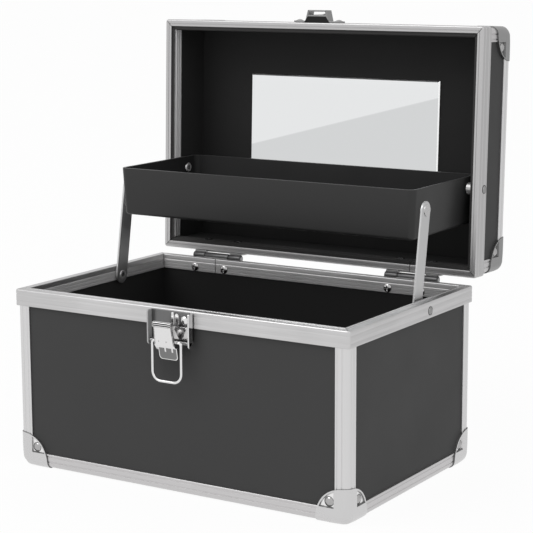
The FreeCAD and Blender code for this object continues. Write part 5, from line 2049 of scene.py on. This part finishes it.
@dataclass(frozen=True)
class Boards:
    """The laminated boards and the linings, whose solids mostly stay as they are."""

    corner_cut: float = 6.0
    top_drop: float = 1.6
    ledge: float = 1.5

    def long_board(self, half: Half, way: int) -> Shell:
        """A front or back board, with its two corners cut off under the round corner guards.

        Args:
            half: the half that it is on.
            way: -1 for the front, 1 for the back.

        Returns:
            The shell of the board.
        """
        end, cut = CASE.half_width - CASE.board_in, self.corner_cut
        top = self.top_drop + half.pick(0.0, self.ledge)
        low = half.height - CASE.guard_sheet - CASE.edge_wall
        right = [(end, top), (end, low - cut), (end - cut, low)]
        outline = np.array(right + [(-x, depth) for x, depth in reversed(right)])
        faces = [way * (CASE.half_depth - inset) for inset in (CASE.board_back, CASE.board_in)]
        return prism(outline, *faces, Axis.Y).moved(half.put)

    def build(self, shop: Workshop) -> None:
        """Make the long boards, and dress every other board, lining and hidden pin.

        Args:
            shop: makes the pieces and dresses the solids.
        """
        for half in (Half(which) for which in Which):
            for place, way in ENDS.items():
                shop.piece(f"{half.name}_{place}_board", self.long_board(half, way), LAMINATE)
            for place in (*SIDES, "end"):
                shop.dress(f"{half.name}_{place}_board", LAMINATE)
            shop.dress(f"{half.name}_lining", LINING)
        shop.dress("hinge_pins", HINGE_NICKEL)


@dataclass(frozen=True)
class Studio:
    """Pale floor, white surroundings, soft lamps, and the camera of the photo.

    Angles are in degrees. The sensor is in millimetres, and every other length in metres.
    """

    focal_pixels: float = 1756.087
    image_pixels: float = 533.0
    sensor: float = 36.0
    azimuth: float = 32.19666
    elevation: float = 10.29563
    roll: float = -0.222913
    camera_place: tuple[float, float, float] = (0.611492, -0.944178, 0.336543)
    camera_range: float = 100.0
    floor_size: float = 30.0
    floor_tone: float = 0.9
    floor_glow: float = 0.95
    ambient: float = 0.72
    back_grey: float = 0.8
    grey_span: tuple[float, float] = (-0.2, 0.8)
    lamp_aim: tuple[float, float, float] = (0.0, 0.0, 0.15)

    def camera(self) -> None:
        """Stand the camera where the photo was taken from."""
        azimuth, elevation = math.radians(self.azimuth), math.radians(self.elevation)
        level = math.cos(elevation)
        across, along = math.sin(azimuth) * level, -math.cos(azimuth) * level
        back = Vector((across, along, math.sin(elevation)))
        right = (-back).cross(Vector((0, 0, 1))).normalized()
        up = right.cross(-back)
        turn = math.radians(self.roll)
        tilted_right = right * math.cos(turn) + up * math.sin(turn)
        tilted_up = up * math.cos(turn) - right * math.sin(turn)
        data = bpy.data.cameras.new("photo_camera")
        data.sensor_width = self.sensor
        data.lens = self.focal_pixels / self.image_pixels * self.sensor
        data.clip_end = self.camera_range
        camera = bpy.data.objects.new("photo_camera", data)
        axes = Matrix((tilted_right, tilted_up, back)).transposed().to_4x4()
        camera.matrix_world = Matrix.Translation(self.camera_place) @ axes
        bpy.context.scene.collection.objects.link(camera)
        bpy.context.scene.camera = camera

    def seen_directly(self, graph: Graph) -> bpy.types.NodeSocket:
        """A value that is 1 for rays that show the background: camera, glossy and transmission.

        Args:
            graph: the node tree to add it to.

        Returns:
            The socket with the value.
        """
        rays = graph.add("LightPath", {})
        total = rays["Is Camera Ray"]
        for name in ("Is Glossy Ray", "Is Transmission Ray"):
            total = graph.add("Math", {0: total, 1: rays[name]}, operation="MAXIMUM")[0]
        return total

    def shown(self, graph: Graph, place: bpy.types.NodeSocket) -> bpy.types.NodeSocket:
        """How bright the background is: white to the eye, and greyer towards the back in metal.

        Args:
            graph: the node tree to add it to.
            place: a direction or a place, whose y is read.

        Returns:
            The socket with the strength.
        """
        start, end = self.grey_span
        fade = {"From Min": start, "From Max": end, "To Min": 1.0, "To Max": self.back_grey}
        fade["Value"] = graph.add("SeparateXYZ", {0: place})["Y"]
        grey = graph.add("MapRange", fade)["Result"]
        eye = graph.add("LightPath", {})["Is Camera Ray"]
        return graph.add("Math", {0: grey, 1: eye}, operation="MAXIMUM")[0]

    def world(self) -> None:
        """White surroundings for the eye and for reflections, a plain level of light otherwise."""
        world = bpy.data.worlds.new("studio_world")
        bpy.context.scene.world = world
        world.use_nodes = True
        graph = Graph(world.node_tree)
        seen = self.shown(graph, graph.add("TexCoord", {})["Generated"])
        levels = {"Factor": self.seen_directly(graph), "A": self.ambient, "B": seen}
        light = {"Color": (1, 1, 1, 1), "Strength": graph.add("Mix", levels)["Result"]}
        graph.fill(world.node_tree.nodes["Background"], light)

    def floor(self) -> None:
        """A white floor that keeps a faint shadow."""
        half = self.floor_size / 2
        corners = [(-half, -half, 0), (half, -half, 0), (half, half, 0), (-half, half, 0)]
        mesh = bpy.data.meshes.new("studio_floor")
        mesh.from_pydata(corners, [], [(0, 1, 2, 3)])
        material = bpy.data.materials.new("studio_floor")
        material.use_nodes = True
        graph, nodes = Graph(material.node_tree), material.node_tree.nodes
        nodes.remove(nodes["Principled BSDF"])
        matt = graph.add("BsdfDiffuse", {"Color": (*[self.floor_tone] * 3, 1)})[0]
        strength = self.shown(graph, graph.add("TexCoord", {})["Object"])
        glow = graph.add("Emission", {"Color": (1, 1, 1, 1), "Strength": strength})[0]
        shares = {0: self.seen_directly(graph), 1: self.floor_glow}
        share = graph.add("Math", shares, operation="MULTIPLY")[0]
        mix = graph.add("MixShader", {"Fac": share, 1: matt, 2: glow})[0]
        graph.fill(nodes["Material Output"], {"Surface": mix})
        mesh.materials.append(material)
        floor = bpy.data.objects.new("studio_floor", mesh)
        bpy.context.scene.collection.objects.link(floor)
        floor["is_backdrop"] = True

    def lamp(self, name: str, place: Sequence[float], size: float, power: float) -> None:
        """A soft square lamp that looks at the middle of the case.

        Args:
            name: of the lamp.
            place: where it hangs, in metres.
            size: of its side, in metres.
            power: in watts.
        """
        data = bpy.data.lights.new(name, "AREA")
        data.size = size
        data.energy = power
        lamp = bpy.data.objects.new(name, data)
        lamp.location = place
        aim = Vector(self.lamp_aim) - Vector(place)
        lamp.rotation_euler = aim.to_track_quat("-Z", "Y").to_euler()
        bpy.context.scene.collection.objects.link(lamp)

    def build(self) -> None:
        """Set up the camera, the surroundings, the floor and the lamps."""
        bpy.context.scene.view_settings.view_transform = "Standard"
        self.camera()
        self.world()
        self.floor()
        self.lamp("key_lamp", place=(-0.9, -1.4, 1.9), size=1.4, power=15.0)
        self.lamp("side_lamp", place=(1.8, -0.4, 1.3), size=1.2, power=3.0)


def main() -> None:
    """Load the frame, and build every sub-assembly."""
    logging.basicConfig(level=logging.INFO, format="%(message)s")
    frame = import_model()
    cad_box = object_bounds()
    Studio().build()
    shop = Workshop(frame)
    rim, edges = RimFrame(), EdgeExtrusions()
    for which in Which:
        half = Half(which)
        rim.build(shop, half)
        edges.posts(shop, half, rim.drop(half))
        edges.rails(shop, half)
        CornerGuard().build(shop, half)
        Hinges().build(shop, half)
    Boards().build(shop)
    LiftTray().build(shop)
    ToggleLatch().build(shop)
    lid = Half(Which.LID)
    Keeper().build(shop, lid)
    CarryHandle().build(shop, lid)
    MirrorGlass().build(shop, lid)
    boxes = {"cad": cad_box, "visual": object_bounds()}
    plain = {name: [[float(v) for v in corner] for corner in box] for name, box in boxes.items()}


if __name__ == "__main__":
    main()
